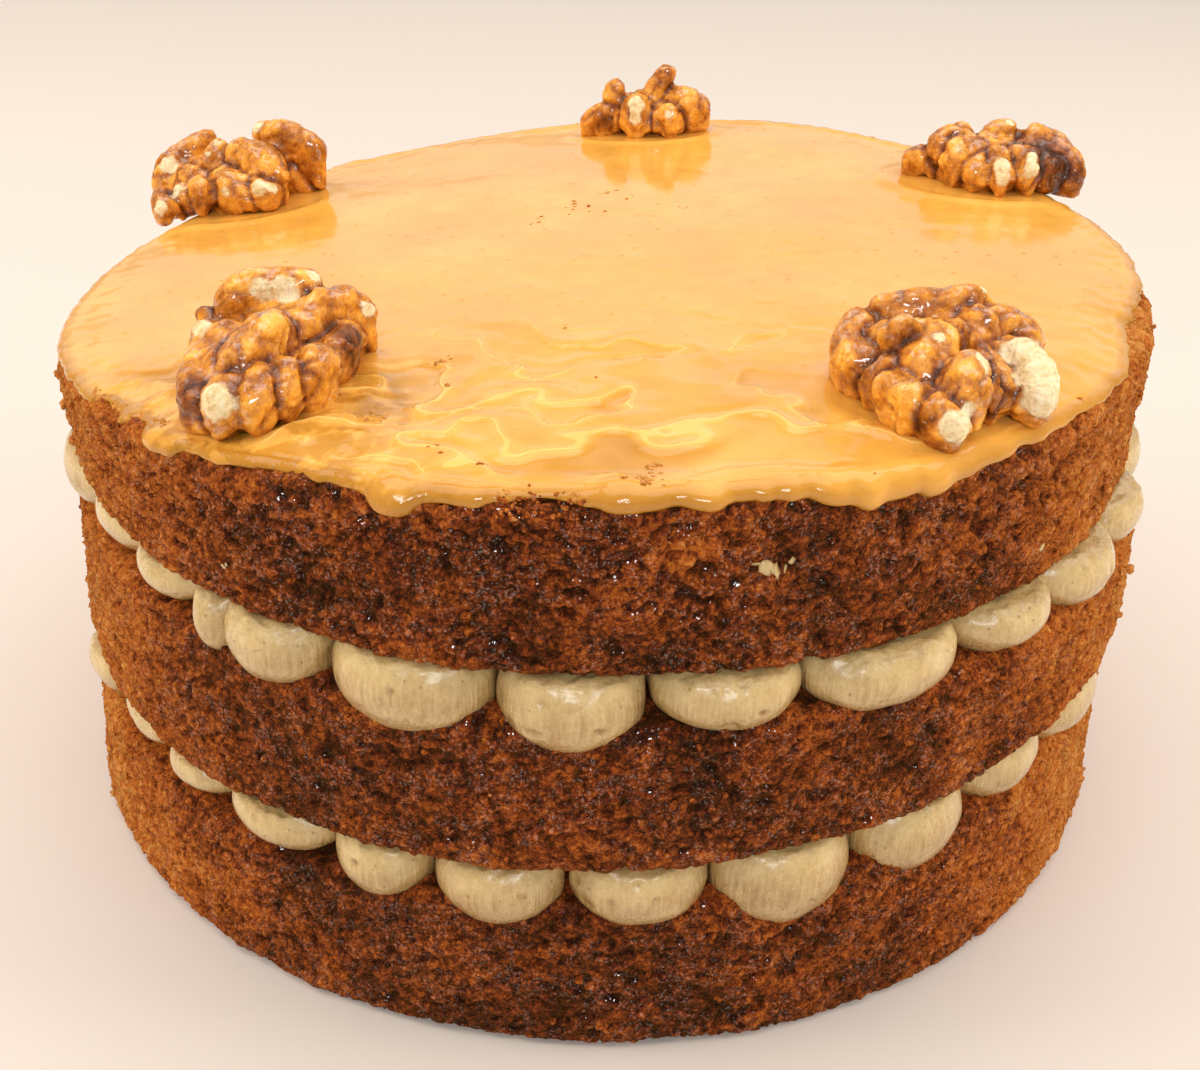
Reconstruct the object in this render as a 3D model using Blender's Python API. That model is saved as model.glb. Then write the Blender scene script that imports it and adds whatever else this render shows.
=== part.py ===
"""Coffee and walnut layer cake.

Three round sponges are stacked with coffee buttercream between them. Each filling is a
flat disc of cream with a ring of piped domes round its edge, squashed by the sponge above
until they bulge past the rim. Coffee glace icing covers the top, runs a little way over
the rim in a few places, and carries five walnut halves.
Lengths are in metres. The origin is at the middle of the cake's foot and +Z points up.
The front of the cake faces -Y, and bearings round it are in degrees from the front,
positive towards +X.
"""
import math

import bmesh
import bpy
from mathutils import Matrix, Vector

# --- Driving dimensions ---------------------------------------------------------------
CAKE_RADIUS = 0.090          # an 18 cm sandwich tin
CENTRING = (-0.0001, 0.0005)  # brings the bulging cake's outer box onto the origin
GAP = 0.0003                 # clearance between neighbouring pieces
SEAT = 0.0005                # clearance under the icing, whose facets are finer
SIDES = 40                   # facets round each sponge

# Each plane is (height on the axis, slope along X, slope along Y): the layers are wedges.
BASE_PLANE = (0.0, 0.0, 0.0)
LOWER_FILLING_FLOOR = (0.0258, 0.0440, 0.0100)
LOWER_FILLING_ROOF = (0.0341, 0.0460, 0.0140)
UPPER_FILLING_FLOOR = (0.0573, -0.0050, 0.0080)
UPPER_FILLING_ROOF = (0.0653, -0.0077, 0.0086)
TOP_PLANE = (0.0850, 0.0535, -0.0345)

# The top also dips and rises round its rim, and its outline is slightly oval.
TOP_SADDLE = 0.0020
TOP_SADDLE_BEARING = math.radians(73)
TOP_OVAL = 0.0014
TOP_OVAL_BEARING = math.radians(64)

TOP_RIM_ROUND = 0.0016

GLAZE_THICKNESS = 0.0015
GLAZE_DOME = 0.0022          # extra thickness in the middle of the top
GLAZE_SIDES = 40
GLAZE_REACH = 0.0012         # how far it runs, measured from where the rim starts to turn
GLAZE_RUNS = (               # bearing, half width in degrees, extra run
    (-80, 14, 0.0008),
    (-48, 6, -0.0014),
    (-27, 9, -0.0014),
    (-17, 6, 0.0010),
    (8, 7, 0.0006),
    (22, 7, 0.0018),
    (31, 8, 0.0006),
    (70, 10, -0.0026),
    (-112, 12, 0.0014),
    (150, 14, 0.0014),
)
CREAM_DISC_RADIUS = 0.0735

# A piped dome: half extents outwards and upwards, and where its middle sits.
DOME_REACH = 0.0090
DOME_HALF_HEIGHT = 0.0082
DOME_HEADROOM = 0.8          # share of its half height that fits under the sponge above
DOME_MIDDLE_RADIUS = 0.0838
DOME_SEGMENTS = 10
DOME_RINGS = 6

# Where each ring's domes start, then for those in front, going round towards +X: the width
# in degrees, the sag (how deep it hangs) and the reach (how far it bulges), as shares.
UPPER_RING = {
    "start": -63.0,
    "widths": (12.7, 11.1, 14.7, 15.6, 13.5, 14.0, 16.4, 13.0, 14.0, 13.0),
    "sags": (0.60, 0.60, 0.96, 1.06, 1.08, 0.79, 0.86, 0.70, 0.84, 0.80),
    "reaches": (0.66, 0.80, 1.0, 1.02, 1.0, 0.96, 1.0, 0.94, 0.98, 0.96),
    "behind": 14,
}
LOWER_RING = {
    "start": -61.0,
    "widths": (12.0, 10.5, 13.2, 10.3, 12.8, 13.4, 14.4, 13.6, 12.8),
    "sags": (0.58, 0.58, 0.68, 0.88, 0.99, 0.97, 1.24, 1.12, 0.82),
    "reaches": (0.70, 0.80, 0.88, 0.94, 1.0, 1.0, 1.06, 1.0, 0.86),
    "behind": 16,
}
FOLDED_DOME = 3              # this dome of the upper ring has a narrow fold at its left

# A walnut half: its middle, the turn of its long axis, then length, width and height.
WALNUTS = (
    (-0.0454, -0.0545, 60, 0.0345, 0.0215, 0.0130),
    (0.0455, -0.0600, -24, 0.0315, 0.0260, 0.0125),
    (-0.0712, 0.0430, 18, 0.0340, 0.0230, 0.0130),
    (0.0072, 0.0785, 4, 0.0290, 0.0165, 0.0125),
    (0.0715, 0.0410, -8, 0.0335, 0.0210, 0.0115),
)
WALNUT_POINTS = 18


# --- Surfaces of the stack --------------------------------------------------------------
def plane_height(plane, x, y):
    middle, slope_x, slope_y = plane
    return middle + slope_x * x + slope_y * y


def top_height(x, y):
    """Height of the uppermost sponge's top, which is a tilted, slightly saddled face."""
    spread = (x * x + y * y) / CAKE_RADIUS ** 2
    turn = math.atan2(y, x)
    saddle = TOP_SADDLE * spread * math.cos(2 * (turn - TOP_SADDLE_BEARING))
    return plane_height(TOP_PLANE, x, y) + saddle


def oval(turn):
    return TOP_OVAL * math.cos(2 * (turn - TOP_OVAL_BEARING))


def glaze_top_height(x, y):
    """Height of the icing's upper face, which is fullest in the middle."""
    spread = min(1.0, (x * x + y * y) / CAKE_RADIUS ** 2)
    return top_height(x, y) + GAP + GLAZE_THICKNESS + GLAZE_DOME * (1 - spread)


# --- Mesh and material helpers ----------------------------------------------------------
def clear_scene():
    for item in list(bpy.data.objects):
        bpy.data.objects.remove(item)


def material(name, colour, roughness):
    surface = bpy.data.materials.new(name)
    surface.use_nodes = True
    shader = surface.node_tree.nodes["Principled BSDF"]
    shader.inputs["Base Color"].default_value = (*colour, 1.0)
    shader.inputs["Roughness"].default_value = roughness
    shader.inputs["Metallic"].default_value = 0.0
    surface.diffuse_color = (*colour, 1.0)
    return surface


def solid_from_rings(name, rings, surface, sharp_degrees=50):
    """Close a stack of rings, listed from the lowest to the highest, into one body.

    All rings have the same number of points and run anticlockwise seen from above.
    """
    count = len(rings[0])
    points = [point for ring in rings for point in ring]
    faces = [tuple(reversed(range(count)))]
    for level in range(len(rings) - 1):
        low = level * count
        high = low + count
        for i in range(count):
            j = (i + 1) % count
            faces.append((low + i, low + j, high + j, high + i))
    last = (len(rings) - 1) * count
    faces.append(tuple(range(last, last + count)))
    mesh = bpy.data.meshes.new(name)
    mesh.from_pydata(points, [], faces)
    mesh.validate()
    mesh.shade_smooth()
    mesh.set_sharp_from_angle(angle=math.radians(sharp_degrees))
    piece = bpy.data.objects.new(name, mesh)
    if surface is not None:
        mesh.materials.append(surface)
    bpy.context.scene.collection.objects.link(piece)
    return piece


def ring_on_axis(radius_at, height_at, count=SIDES, centre_x=0.0):
    """One ring of a sponge: its radius and its height may both change round the cake."""
    ring = []
    for i in range(count):
        turn = 2 * math.pi * i / count
        radius = radius_at(turn)
        x = centre_x + radius * math.cos(turn)
        y = radius * math.sin(turn)
        ring.append(Vector((x, y, height_at(x, y))))
    return ring


# --- Sponges ------------------------------------------------------------------------------
class Sponge:
    """A baked layer: a round slab with rounded edges and a side that leans a little."""

    def __init__(self, floor, roof, foot_radius, rim_radius, foot_round, rim_round, centre_x):
        self.floor = floor
        self.roof = roof
        self.foot_radius = foot_radius
        self.rim_radius = rim_radius
        self.foot_round = foot_round
        self.rim_round = rim_round
        self.centre_x = centre_x
        self.oval_share = 0.0

    def rings(self):
        """Rings from the flat foot, round the lower edge, up the side and over the rim."""
        turns = (
            (0.0, -self.foot_round),
            (0.3 * self.foot_round, -0.3 * self.foot_round),
            (self.foot_round, 0.0),
        )
        rings = []
        for rise, inset in turns:
            rings.append(ring_on_axis(
                lambda turn: self.foot_radius + inset + self.oval_share * oval(turn),
                lambda x, y: plane_height(self.floor, x, y) + rise,
                centre_x=self.centre_x))
        for drop, inset in ((self.rim_round, 0.0), (0.3 * self.rim_round, -0.3 * self.rim_round),
                            (0.0, -self.rim_round)):
            rings.append(ring_on_axis(
                lambda turn: self.rim_radius + inset + self.oval_share * oval(turn),
                lambda x, y: self.roof_height(x, y) - drop,
                centre_x=self.centre_x))
        return rings

    def roof_height(self, x, y):
        return plane_height(self.roof, x, y)


class TopSponge(Sponge):
    """The uppermost layer, whose roof is the saddled face under the icing."""

    def roof_height(self, x, y):
        return top_height(x, y)

    def rings(self):
        rings = super().rings()
        for share in (0.62, 0.28):
            rings.append(ring_on_axis(
                lambda turn: share * (self.rim_radius + oval(turn)),
                self.roof_height, centre_x=self.centre_x))
        return rings


def make_sponges(surface):
    bottom = Sponge(BASE_PLANE, LOWER_FILLING_FLOOR, 0.0918, 0.0908, 0.0022, 0.0022, 0.0)
    middle = Sponge(LOWER_FILLING_ROOF, UPPER_FILLING_FLOOR, 0.0912, 0.0908, 0.0042, 0.0024,
                    0.0008)
    top = TopSponge(UPPER_FILLING_ROOF, TOP_PLANE, 0.0895, CAKE_RADIUS, 0.0042,
                    1.4 * TOP_RIM_ROUND, 0.0)
    top.oval_share = 1.0
    solid_from_rings("sponge_bottom", bottom.rings(), surface)
    solid_from_rings("sponge_middle", middle.rings(), surface)
    solid_from_rings("sponge_top", top.rings(), surface)
    return bottom, middle, top


# --- Buttercream discs ---------------------------------------------------------------------
def make_cream_disc(name, floor, roof, surface):
    rings = [
        ring_on_axis(lambda turn: CREAM_DISC_RADIUS,
                     lambda x, y: plane_height(floor, x, y) + GAP),
        ring_on_axis(lambda turn: CREAM_DISC_RADIUS,
                     lambda x, y: plane_height(roof, x, y) - GAP),
    ]
    solid_from_rings(name, rings, surface)


# --- Piped domes ---------------------------------------------------------------------------
def direction(bearing):
    """Outward direction at a bearing in degrees from the front."""
    turn = math.radians(bearing)
    return Vector((math.sin(turn), -math.cos(turn), 0.0))


def cut_by_plane(shape, point, normal):
    """Keep what lies behind the plane and close the cut face."""
    parts = shape.verts[:] + shape.edges[:] + shape.faces[:]
    cut = bmesh.ops.bisect_plane(
        shape, geom=parts, dist=0.00001, plane_co=point, plane_no=normal, clear_outer=True)
    edges = [part for part in cut["geom_cut"] if isinstance(part, bmesh.types.BMEdge)]
    if edges:
        bmesh.ops.holes_fill(shape, edges=edges)


def sponge_cutter(name, sponge):
    """The sponge under a ring of domes, grown by the gap, to hollow their inner sides."""
    rings = [
        ring_on_axis(lambda turn: sponge.foot_radius + GAP,
                     lambda x, y: plane_height(sponge.floor, x, y), centre_x=sponge.centre_x),
        ring_on_axis(lambda turn: sponge.rim_radius + GAP,
                     lambda x, y: sponge.roof_height(x, y) + GAP, centre_x=sponge.centre_x),
    ]
    cutter = solid_from_rings(name, rings, None)
    cutter.hide_render = True
    cutter.display_type = "WIRE"
    return cutter


def dome_mesh(name, bearing, left, right, half_width, reach, half_height, roof):
    """A squashed ball, cut off flat by the sponge above and by the domes beside it."""
    middle = direction(bearing) * DOME_MIDDLE_RADIUS
    roof_here = plane_height(roof, middle.x, middle.y)
    middle.z = roof_here - DOME_HEADROOM * half_height
    shape = bmesh.new()
    bmesh.ops.create_uvsphere(
        shape, u_segments=DOME_SEGMENTS, v_segments=DOME_RINGS, radius=1.0)
    poles_outward = Matrix.Rotation(math.radians(90), 4, "X")
    size = Matrix.Diagonal((half_width, reach, half_height, 1.0))
    turn = Matrix.Rotation(math.radians(bearing), 4, "Z")
    bmesh.ops.transform(
        shape, matrix=Matrix.Translation(middle) @ turn @ size @ poles_outward,
        verts=shape.verts)
    roof_normal = Vector((-roof[1], -roof[2], 1.0)).normalized()
    cut_by_plane(shape, Vector((middle.x, middle.y, roof_here - GAP)), roof_normal)
    for side, border in ((-1, left), (1, right)):
        outward = direction(border + 90) * side
        cut_by_plane(shape, outward * (-0.5 * GAP), outward)
    bmesh.ops.recalc_face_normals(shape, faces=shape.faces)
    mesh = bpy.data.meshes.new(name)
    shape.to_mesh(mesh)
    shape.free()
    return mesh


def make_dome(name, mesh, cutter, surface, fold=None):
    mesh.materials.append(surface)
    piece = bpy.data.objects.new(name, mesh)
    bpy.context.scene.collection.objects.link(piece)
    if fold is not None:
        joined = piece.modifiers.new("fold", "BOOLEAN")
        joined.operation = "UNION"
        joined.object = fold
    hollow = piece.modifiers.new("seat", "BOOLEAN")
    hollow.operation = "DIFFERENCE"
    hollow.object = cutter
    mesh.shade_smooth()
    mesh.set_sharp_from_angle(angle=math.radians(40))
    return piece


def make_fold(name, border, right, roof):
    """A narrow tuck of cream beside a dome, joined to it."""
    bearing = border + 2.6
    mesh = dome_mesh(name, bearing, border, right, 0.0044, 0.0082, 0.0074, roof)
    piece = bpy.data.objects.new(name, mesh)
    piece.hide_render = True
    piece.display_type = "WIRE"
    bpy.context.scene.collection.objects.link(piece)
    return piece


def make_ring(prefix, ring, roof, cutter, surface, folded=None):
    """Pipe the domes in front as listed and the ones behind evenly in what is left."""
    widths = list(ring["widths"])
    sags = list(ring["sags"])
    reaches = list(ring["reaches"])
    behind = ring["behind"]
    rest = (360 - sum(widths)) / behind
    for i in range(behind):
        widths.append(rest + 0.7 * math.sin(2.4 * i) - 0.7 * math.sin(2.4 * (i - 1)))
        sags.append(0.82 + 0.12 * math.sin(1.9 * i + 0.5))
        reaches.append(0.88 + 0.08 * math.cos(1.3 * i))
    widths[-1] += 360 - sum(widths)
    left = ring["start"]
    for number, (width, sag, bulge) in enumerate(zip(widths, sags, reaches), start=1):
        name = f"{prefix}_{number:02d}"
        right = left + width
        half_width = DOME_MIDDLE_RADIUS * math.tan(math.radians(width / 2)) * 1.02
        bearing = left + width / 2
        fold = None
        if number == folded:
            fold = make_fold(f"{name}_fold", left, right, roof)
            bearing += 1.6
            half_width *= 0.84
        mesh = dome_mesh(name, bearing, left, right, half_width, DOME_REACH * bulge,
                         DOME_HALF_HEIGHT * sag, roof)
        make_dome(name, mesh, cutter, surface, fold)
        left = right


# --- Coffee icing ----------------------------------------------------------------------------
def glaze_reach(turn):
    """How far the icing runs at one place round the rim, with its drips and bare patches."""
    bearing = math.degrees(turn) + 90
    reach = GLAZE_REACH + 0.0004 * math.sin(5 * turn) + 0.0003 * math.sin(11 * turn + 1.0)
    for middle, half_width, run in GLAZE_RUNS:
        apart = (bearing - middle + 180) % 360 - 180
        reach += run * math.exp(-(apart / half_width) ** 2)
    return reach


def over_rim(turn, run, lift):
    """A point `run` past where the rim starts to turn, `lift` clear of the sponge."""
    corner = 0.5 * math.pi * TOP_RIM_ROUND
    flat_end = CAKE_RADIUS + oval(turn) - TOP_RIM_ROUND
    bend = min(max(run, 0.0), corner) / TOP_RIM_ROUND
    radius = flat_end + min(run, 0.0) + (TOP_RIM_ROUND + lift) * math.sin(bend)
    x = radius * math.cos(turn)
    y = radius * math.sin(turn)
    drop = TOP_RIM_ROUND - (TOP_RIM_ROUND + lift) * math.cos(bend) + max(run - corner, 0.0)
    return Vector((x, y, top_height(x, y) - drop))


def glaze_ring(share, lift):
    """One ring near the icing's edge; share runs from 0, on the flat top, to 1, its end."""
    ring = []
    for i in range(GLAZE_SIDES):
        turn = 2 * math.pi * i / GLAZE_SIDES
        reach = glaze_reach(turn)
        start = min(-0.0002, reach - 0.003)
        ring.append(over_rim(turn, start + (reach - start) * share, lift))
    return ring


def flat_ring(share, height_at):
    ring = []
    for i in range(GLAZE_SIDES):
        turn = 2 * math.pi * i / GLAZE_SIDES
        radius = share * (CAKE_RADIUS + oval(turn))
        x = radius * math.cos(turn)
        y = radius * math.sin(turn)
        ring.append(Vector((x, y, height_at(x, y))))
    return ring


def make_glaze(surface):
    rings = [flat_ring(share, lambda x, y: top_height(x, y) + SEAT) for share in (0.28, 0.62)]
    for share in (0.0, 0.3, 0.6, 1.0):
        rings.append(glaze_ring(share, SEAT))
    for share, fullness in ((1.0, 0.5), (0.8, 1.0), (0.4, 1.0), (0.0, 1.0)):
        rings.append(glaze_ring(share, GAP + GLAZE_THICKNESS * fullness))
    for share in (0.62, 0.28):
        rings.append(flat_ring(share, glaze_top_height))
    solid_from_rings("coffee_glaze", rings, surface)


# --- Walnut halves -----------------------------------------------------------------------------
def make_walnut(number, half, surface):
    """Half a kernel, rounded side up: two folded lobes with a groove between them."""
    centre_x, centre_y, turn_degrees, length, width, height = half
    long_turn = math.radians(turn_degrees)
    # Each level is (share of the outline's radius, share of the height).
    levels = ((0.84, 0.0), (1.0, 0.24), (0.97, 0.50), (0.78, 0.80), (0.50, 0.97), (0.22, 1.0))
    rings = []
    for share, rise in levels:
        ring = []
        for i in range(WALNUT_POINTS):
            turn = 2 * math.pi * i / WALNUT_POINTS
            lobes = 1 + 0.07 * math.cos(4 * turn + number) + 0.05 * math.cos(7 * turn + 2 * number)
            along = 0.5 * length * share * lobes * math.cos(turn)
            across = 0.5 * width * share * lobes * math.sin(turn)
            groove = math.exp(-(across / (0.13 * width)) ** 2)
            folds = 1 + 0.09 * math.cos(5 * turn + 1.7 * number + 4 * share)
            lift = height * rise * folds * (1 - 0.22 * groove * rise)
            x = centre_x + along * math.cos(long_turn) - across * math.sin(long_turn)
            y = centre_y + along * math.sin(long_turn) + across * math.cos(long_turn)
            ring.append(Vector((x, y, glaze_top_height(x, y) + GAP + lift)))
        rings.append(ring)
    solid_from_rings(f"walnut_{number}", rings, surface, sharp_degrees=70)


def centre_on_origin():
    """Hang every piece on one empty that sits at the middle of the cake's foot."""
    middle = bpy.data.objects.new("cake_middle", None)
    middle.location = (*CENTRING, 0.0)
    for piece in bpy.context.scene.objects:
        piece.parent = middle
    bpy.context.scene.collection.objects.link(middle)


def main():
    clear_scene()
    sponge = material("sponge_crumb", (0.19, 0.062, 0.018), 0.85)
    cream = material("coffee_buttercream", (0.62, 0.45, 0.26), 0.5)
    icing = material("coffee_icing", (0.80, 0.47, 0.15), 0.2)
    kernel = material("walnut_skin", (0.42, 0.17, 0.035), 0.35)

    bottom, middle, _ = make_sponges(sponge)
    make_cream_disc("filling_lower", LOWER_FILLING_FLOOR, LOWER_FILLING_ROOF, cream)
    make_cream_disc("filling_upper", UPPER_FILLING_FLOOR, UPPER_FILLING_ROOF, cream)
    make_ring("lower_dome", LOWER_RING, LOWER_FILLING_ROOF,
              sponge_cutter("lower_seat", bottom), cream)
    make_ring("upper_dome", UPPER_RING, UPPER_FILLING_ROOF,
              sponge_cutter("upper_seat", middle), cream, FOLDED_DOME)
    make_glaze(icing)
    for number, half in enumerate(WALNUTS, start=1):
        make_walnut(number, half, kernel)
    centre_on_origin()


main()
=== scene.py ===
# %% [markdown]
# # Coffee and walnut layer cake
# This lesson finishes a imported model of a cake: three sponges, two rings of piped
# buttercream, coffee icing and five walnut halves. The imported model gives the sizes and the
# places. We add what a baker would see up close: open crumb, the marks of the piping nozzle,
# ripples in the icing and the folds of each nut. Its box is kept.

# %% Load the frame
import math

import bmesh
import bpy
import numpy as np
from mathutils import Matrix, Vector
from mathutils.bvhtree import BVHTree


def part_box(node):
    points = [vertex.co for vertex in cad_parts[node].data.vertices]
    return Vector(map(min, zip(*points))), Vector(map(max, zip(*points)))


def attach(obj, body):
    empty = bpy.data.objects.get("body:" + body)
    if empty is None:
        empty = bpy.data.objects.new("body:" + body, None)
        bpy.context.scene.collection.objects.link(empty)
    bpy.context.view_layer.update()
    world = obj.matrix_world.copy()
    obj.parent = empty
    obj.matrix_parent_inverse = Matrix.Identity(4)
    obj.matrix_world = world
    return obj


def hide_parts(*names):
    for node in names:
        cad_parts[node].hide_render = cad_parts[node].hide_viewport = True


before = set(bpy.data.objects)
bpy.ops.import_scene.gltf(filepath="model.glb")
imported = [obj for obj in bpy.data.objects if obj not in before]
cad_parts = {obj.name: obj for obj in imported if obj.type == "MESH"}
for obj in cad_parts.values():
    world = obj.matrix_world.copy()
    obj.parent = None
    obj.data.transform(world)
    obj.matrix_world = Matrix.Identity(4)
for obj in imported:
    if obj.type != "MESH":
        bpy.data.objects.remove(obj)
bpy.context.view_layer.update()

# %% [markdown]
# ## The camera
# A camera can be placed by hand or by numbers. Numbers are better here, because every later
# choice is judged through it. It looks down at the cake from in front, close up, with a normal
# lens, and it is rolled a touch to one side, as when it is held in the hand.

# %% Set up the camera
CAMERA_PLACE = Vector((-0.0001, -0.2562, 0.1829))
CAMERA_PITCH = math.radians(30.22)
CAMERA_ROLL = math.radians(1.66)


def place_camera():
    ahead = Vector((0.0, math.cos(CAMERA_PITCH), -math.sin(CAMERA_PITCH)))
    level = Vector((1.0, 0.0, 0.0))
    upright = level.cross(ahead)
    right = level * math.cos(CAMERA_ROLL) + upright * math.sin(CAMERA_ROLL)
    top = upright * math.cos(CAMERA_ROLL) - level * math.sin(CAMERA_ROLL)
    lens = bpy.data.cameras.new("camera")
    lens.lens = 48.0
    lens.sensor_width = 36.0
    lens.clip_start = 0.01
    camera = bpy.data.objects.new("camera", lens)
    turn = Matrix((right, top, -ahead)).transposed().to_4x4()
    camera.matrix_world = Matrix.Translation(CAMERA_PLACE) @ turn
    bpy.context.scene.collection.objects.link(camera)
    bpy.context.scene.camera = camera
    return camera


camera = place_camera()
print("camera at", tuple(round(value, 3) for value in camera.matrix_world.translation))

# %% [markdown]
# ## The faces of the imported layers
# Each sponge leans, so its floor and roof are sloping faces. Copying slopes by hand would let
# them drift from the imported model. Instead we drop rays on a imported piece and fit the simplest
# formula that passes through the hits: a plane for most faces, and a gently curved one for the
# top. Heights then come out for any place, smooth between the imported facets.

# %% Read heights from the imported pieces
PLANE = 3
CURVED = 6
SAMPLED_RADIUS = 0.065


def terms(x, y, count):
    """The parts of the height formula: constant, slopes, then curvature."""
    parts = (np.ones_like(x), x, y, x * x, x * y, y * y)
    return np.stack(parts[:count], axis=-1)


class Face:
    """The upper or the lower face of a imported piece, as height over the ground plan."""

    def __init__(self, node, upper, count=PLANE):
        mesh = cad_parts[node].data
        corners = [vertex.co for vertex in mesh.vertices]
        tree = BVHTree.FromPolygons(corners, [face.vertices for face in mesh.polygons])
        away = Vector((0, 0, 1 if upper else -1))
        hits = []
        steps = np.linspace(-SAMPLED_RADIUS, SAMPLED_RADIUS, 9)
        for x in steps:
            for y in steps:
                if math.hypot(x, y) <= SAMPLED_RADIUS:
                    hit = tree.ray_cast(Vector((x, y, 0.0)) + away * 0.3, -away)[0]
                    if hit is not None:
                        hits.append(hit)
        x, y, z = np.array(hits).T
        self.count = count
        self.weights = np.linalg.lstsq(terms(x, y, count), z, rcond=None)[0]

    def at(self, x, y):
        x = np.asarray(x, float)
        y = np.asarray(y, float)
        return terms(x, y, self.count) @ self.weights


SPONGES = ("sponge_bottom", "sponge_middle", "sponge_top")
floor_of = {name: Face(name, upper=False) for name in SPONGES}
roof_of = {name: Face(name, upper=True, count=CURVED if name == "sponge_top" else PLANE)
           for name in SPONGES}
icing_face = Face("coffee_glaze", upper=True, count=CURVED)
cake_low, cake_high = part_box("sponge_bottom")
MIDDLE = ((cake_low.x + cake_high.x) / 2, (cake_low.y + cake_high.y) / 2)
for name in SPONGES:
    print(name, "stands from", floor_of[name].at(0, 0).round(4), "to",
          roof_of[name].at(0, 0).round(4))

# %% [markdown]
# ## Random but repeatable
# Crumb, bubbles and ripples all need irregular numbers. Blender's own noise can be asked for
# one point at a time, which is slow for a hundred thousand points. So we hash whole-number
# cells of space into numbers from 0 to 1 with arrays, which is fast and gives the same cake
# every time. Smooth noise then comes from leaning each cell corner some random way and easing
# from one corner to the next.

# %% Noise for whole arrays of points
def cell_random(cells, channel):
    """A repeatable number from 0 to 1 for each whole-number cell."""
    cells = cells.astype(np.int64)
    mixed = cells[..., 0] * 73856093 + cells[..., 1] * 19349663 + cells[..., 2] * 83492791
    mixed = mixed + channel * 40503001
    for shift, factor in ((15, 2246822519), (13, 3266489917), (16, 668265263)):
        mixed = ((mixed ^ (mixed >> shift)) * factor) & 0xFFFFFFFFFF
    return ((mixed >> 8) & 0xFFFFFF) / float(0xFFFFFF)


def noise(points, size, channel=0):
    """Smooth noise, mostly from -1 to 1, whose lumps are about `size` across."""
    place = points / size
    cell = np.floor(place)
    part = place - cell
    ease = part * part * part * (part * (part * 6 - 15) + 10)
    total = 0.0
    for corner in np.ndindex(2, 2, 2):
        here = cell + corner
        weight = np.prod(np.where(corner, ease, 1 - ease), axis=-1)
        slope = 0.0
        for axis in range(3):
            lean = cell_random(here, channel + 101 * axis) * 2 - 1
            slope = slope + lean * (part[..., axis] - corner[axis])
        total = total + weight * slope
    return total * 1.9


def layered_noise(points, size, channel=0):
    """Noise, and half as much again of noise that is half the size."""
    return noise(points, size, channel) + 0.5 * noise(points, size / 2, channel + 7)


def push(points, size, amount, channel):
    """The points pushed about by noise, so that a pattern laid on them comes out bent."""
    return points + amount * np.stack(
        [noise(points, size, channel + axis) for axis in range(3)], axis=-1)


def smooth_step(value, start, end):
    share = np.clip((value - start) / (end - start), 0.0, 1.0)
    return share * share * (3 - 2 * share)


print("noise sample", noise(np.array([[0.01, 0.02, 0.03]]), 0.004).round(3))

# %% [markdown]
# Bubbles and grains both start from one centre strewn in every cell of space. A bubble is a
# ball round its centre, and we keep how deep the deepest one is. A grain is all that lies
# nearer to its own centre than to any other, so the distance to the nearest centre draws
# lumps with creases between them.

# %% Bubbles and grains
def strewn_centres(place, channel):
    """For the 27 cells round each point, one after another: the cell and the centre in it."""
    corner = np.floor(place)
    for step in np.ndindex(3, 3, 3):
        here = corner + np.array(step) - 1
        yield here, np.stack([here[..., axis] + cell_random(here, channel + axis)
                              for axis in range(3)], axis=-1)


def bubbles(points, cell, largest, channel, rarity):
    """How deep the deepest round hollow is at each point. A high rarity keeps most small."""
    deepest = np.zeros(points.shape[:-1])
    for here, centre in strewn_centres(points / cell, channel):
        radius = largest * cell_random(here, channel + 3) ** rarity
        gap = radius ** 2 - ((points - centre * cell) ** 2).sum(axis=-1)
        deepest = np.maximum(deepest, gap)
    return np.sqrt(deepest)


def grains(points, size, channel):
    """How far each point is from the nearest centre, in grain sizes."""
    place = points / size
    nearest = np.full(points.shape[:-1], 9.0)
    for here, centre in strewn_centres(place, channel):
        nearest = np.minimum(nearest, ((place - centre) ** 2).sum(axis=-1))
    return np.sqrt(nearest)


print("grain sample", grains(np.array([[0.01, 0.02, 0.03]]), 0.004, 0).round(3))

# %% [markdown]
# ## From arrays to meshes
# Points and faces as arrays can be written to a mesh in one go, which is hundreds of times
# faster than adding them one by one. Extra numbers for each point, such as how deep a pore
# is, are kept as attributes, so that a finish can colour the same pores that the shape has.

# %% Build a mesh piece
NO_QUADS = np.zeros((0, 4), int)


def write_measures(mesh, measures):
    for key, values in measures.items():
        layer = mesh.attributes.new(key, "FLOAT", "POINT")
        layer.data.foreach_set("value", values.astype(np.float32).ravel())


def mesh_piece(name, points, quads, triangles, measures):
    mesh = bpy.data.meshes.new(name)
    corners = np.concatenate([quads.ravel(), triangles.ravel()])
    sizes = np.concatenate([np.full(len(quads), 4), np.full(len(triangles), 3)])
    starts = np.concatenate([[0], np.cumsum(sizes)[:-1]])
    mesh.vertices.add(len(points))
    mesh.vertices.foreach_set("co", points.astype(np.float32).ravel())
    mesh.loops.add(len(corners))
    mesh.loops.foreach_set("vertex_index", corners.astype(np.int32))
    mesh.polygons.add(len(sizes))
    mesh.polygons.foreach_set("loop_start", starts.astype(np.int32))
    mesh.update(calc_edges=True)
    mesh.validate()
    mesh.shade_smooth()
    write_measures(mesh, measures)
    piece = bpy.data.objects.new(name, mesh)
    bpy.context.scene.collection.objects.link(piece)
    print(name, "has", len(quads) * 2 + len(triangles), "triangles")
    return piece


def read_points(mesh):
    points = np.empty(len(mesh.vertices) * 3, np.float32)
    mesh.vertices.foreach_get("co", points)
    return points.reshape(-1, 3)


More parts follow.
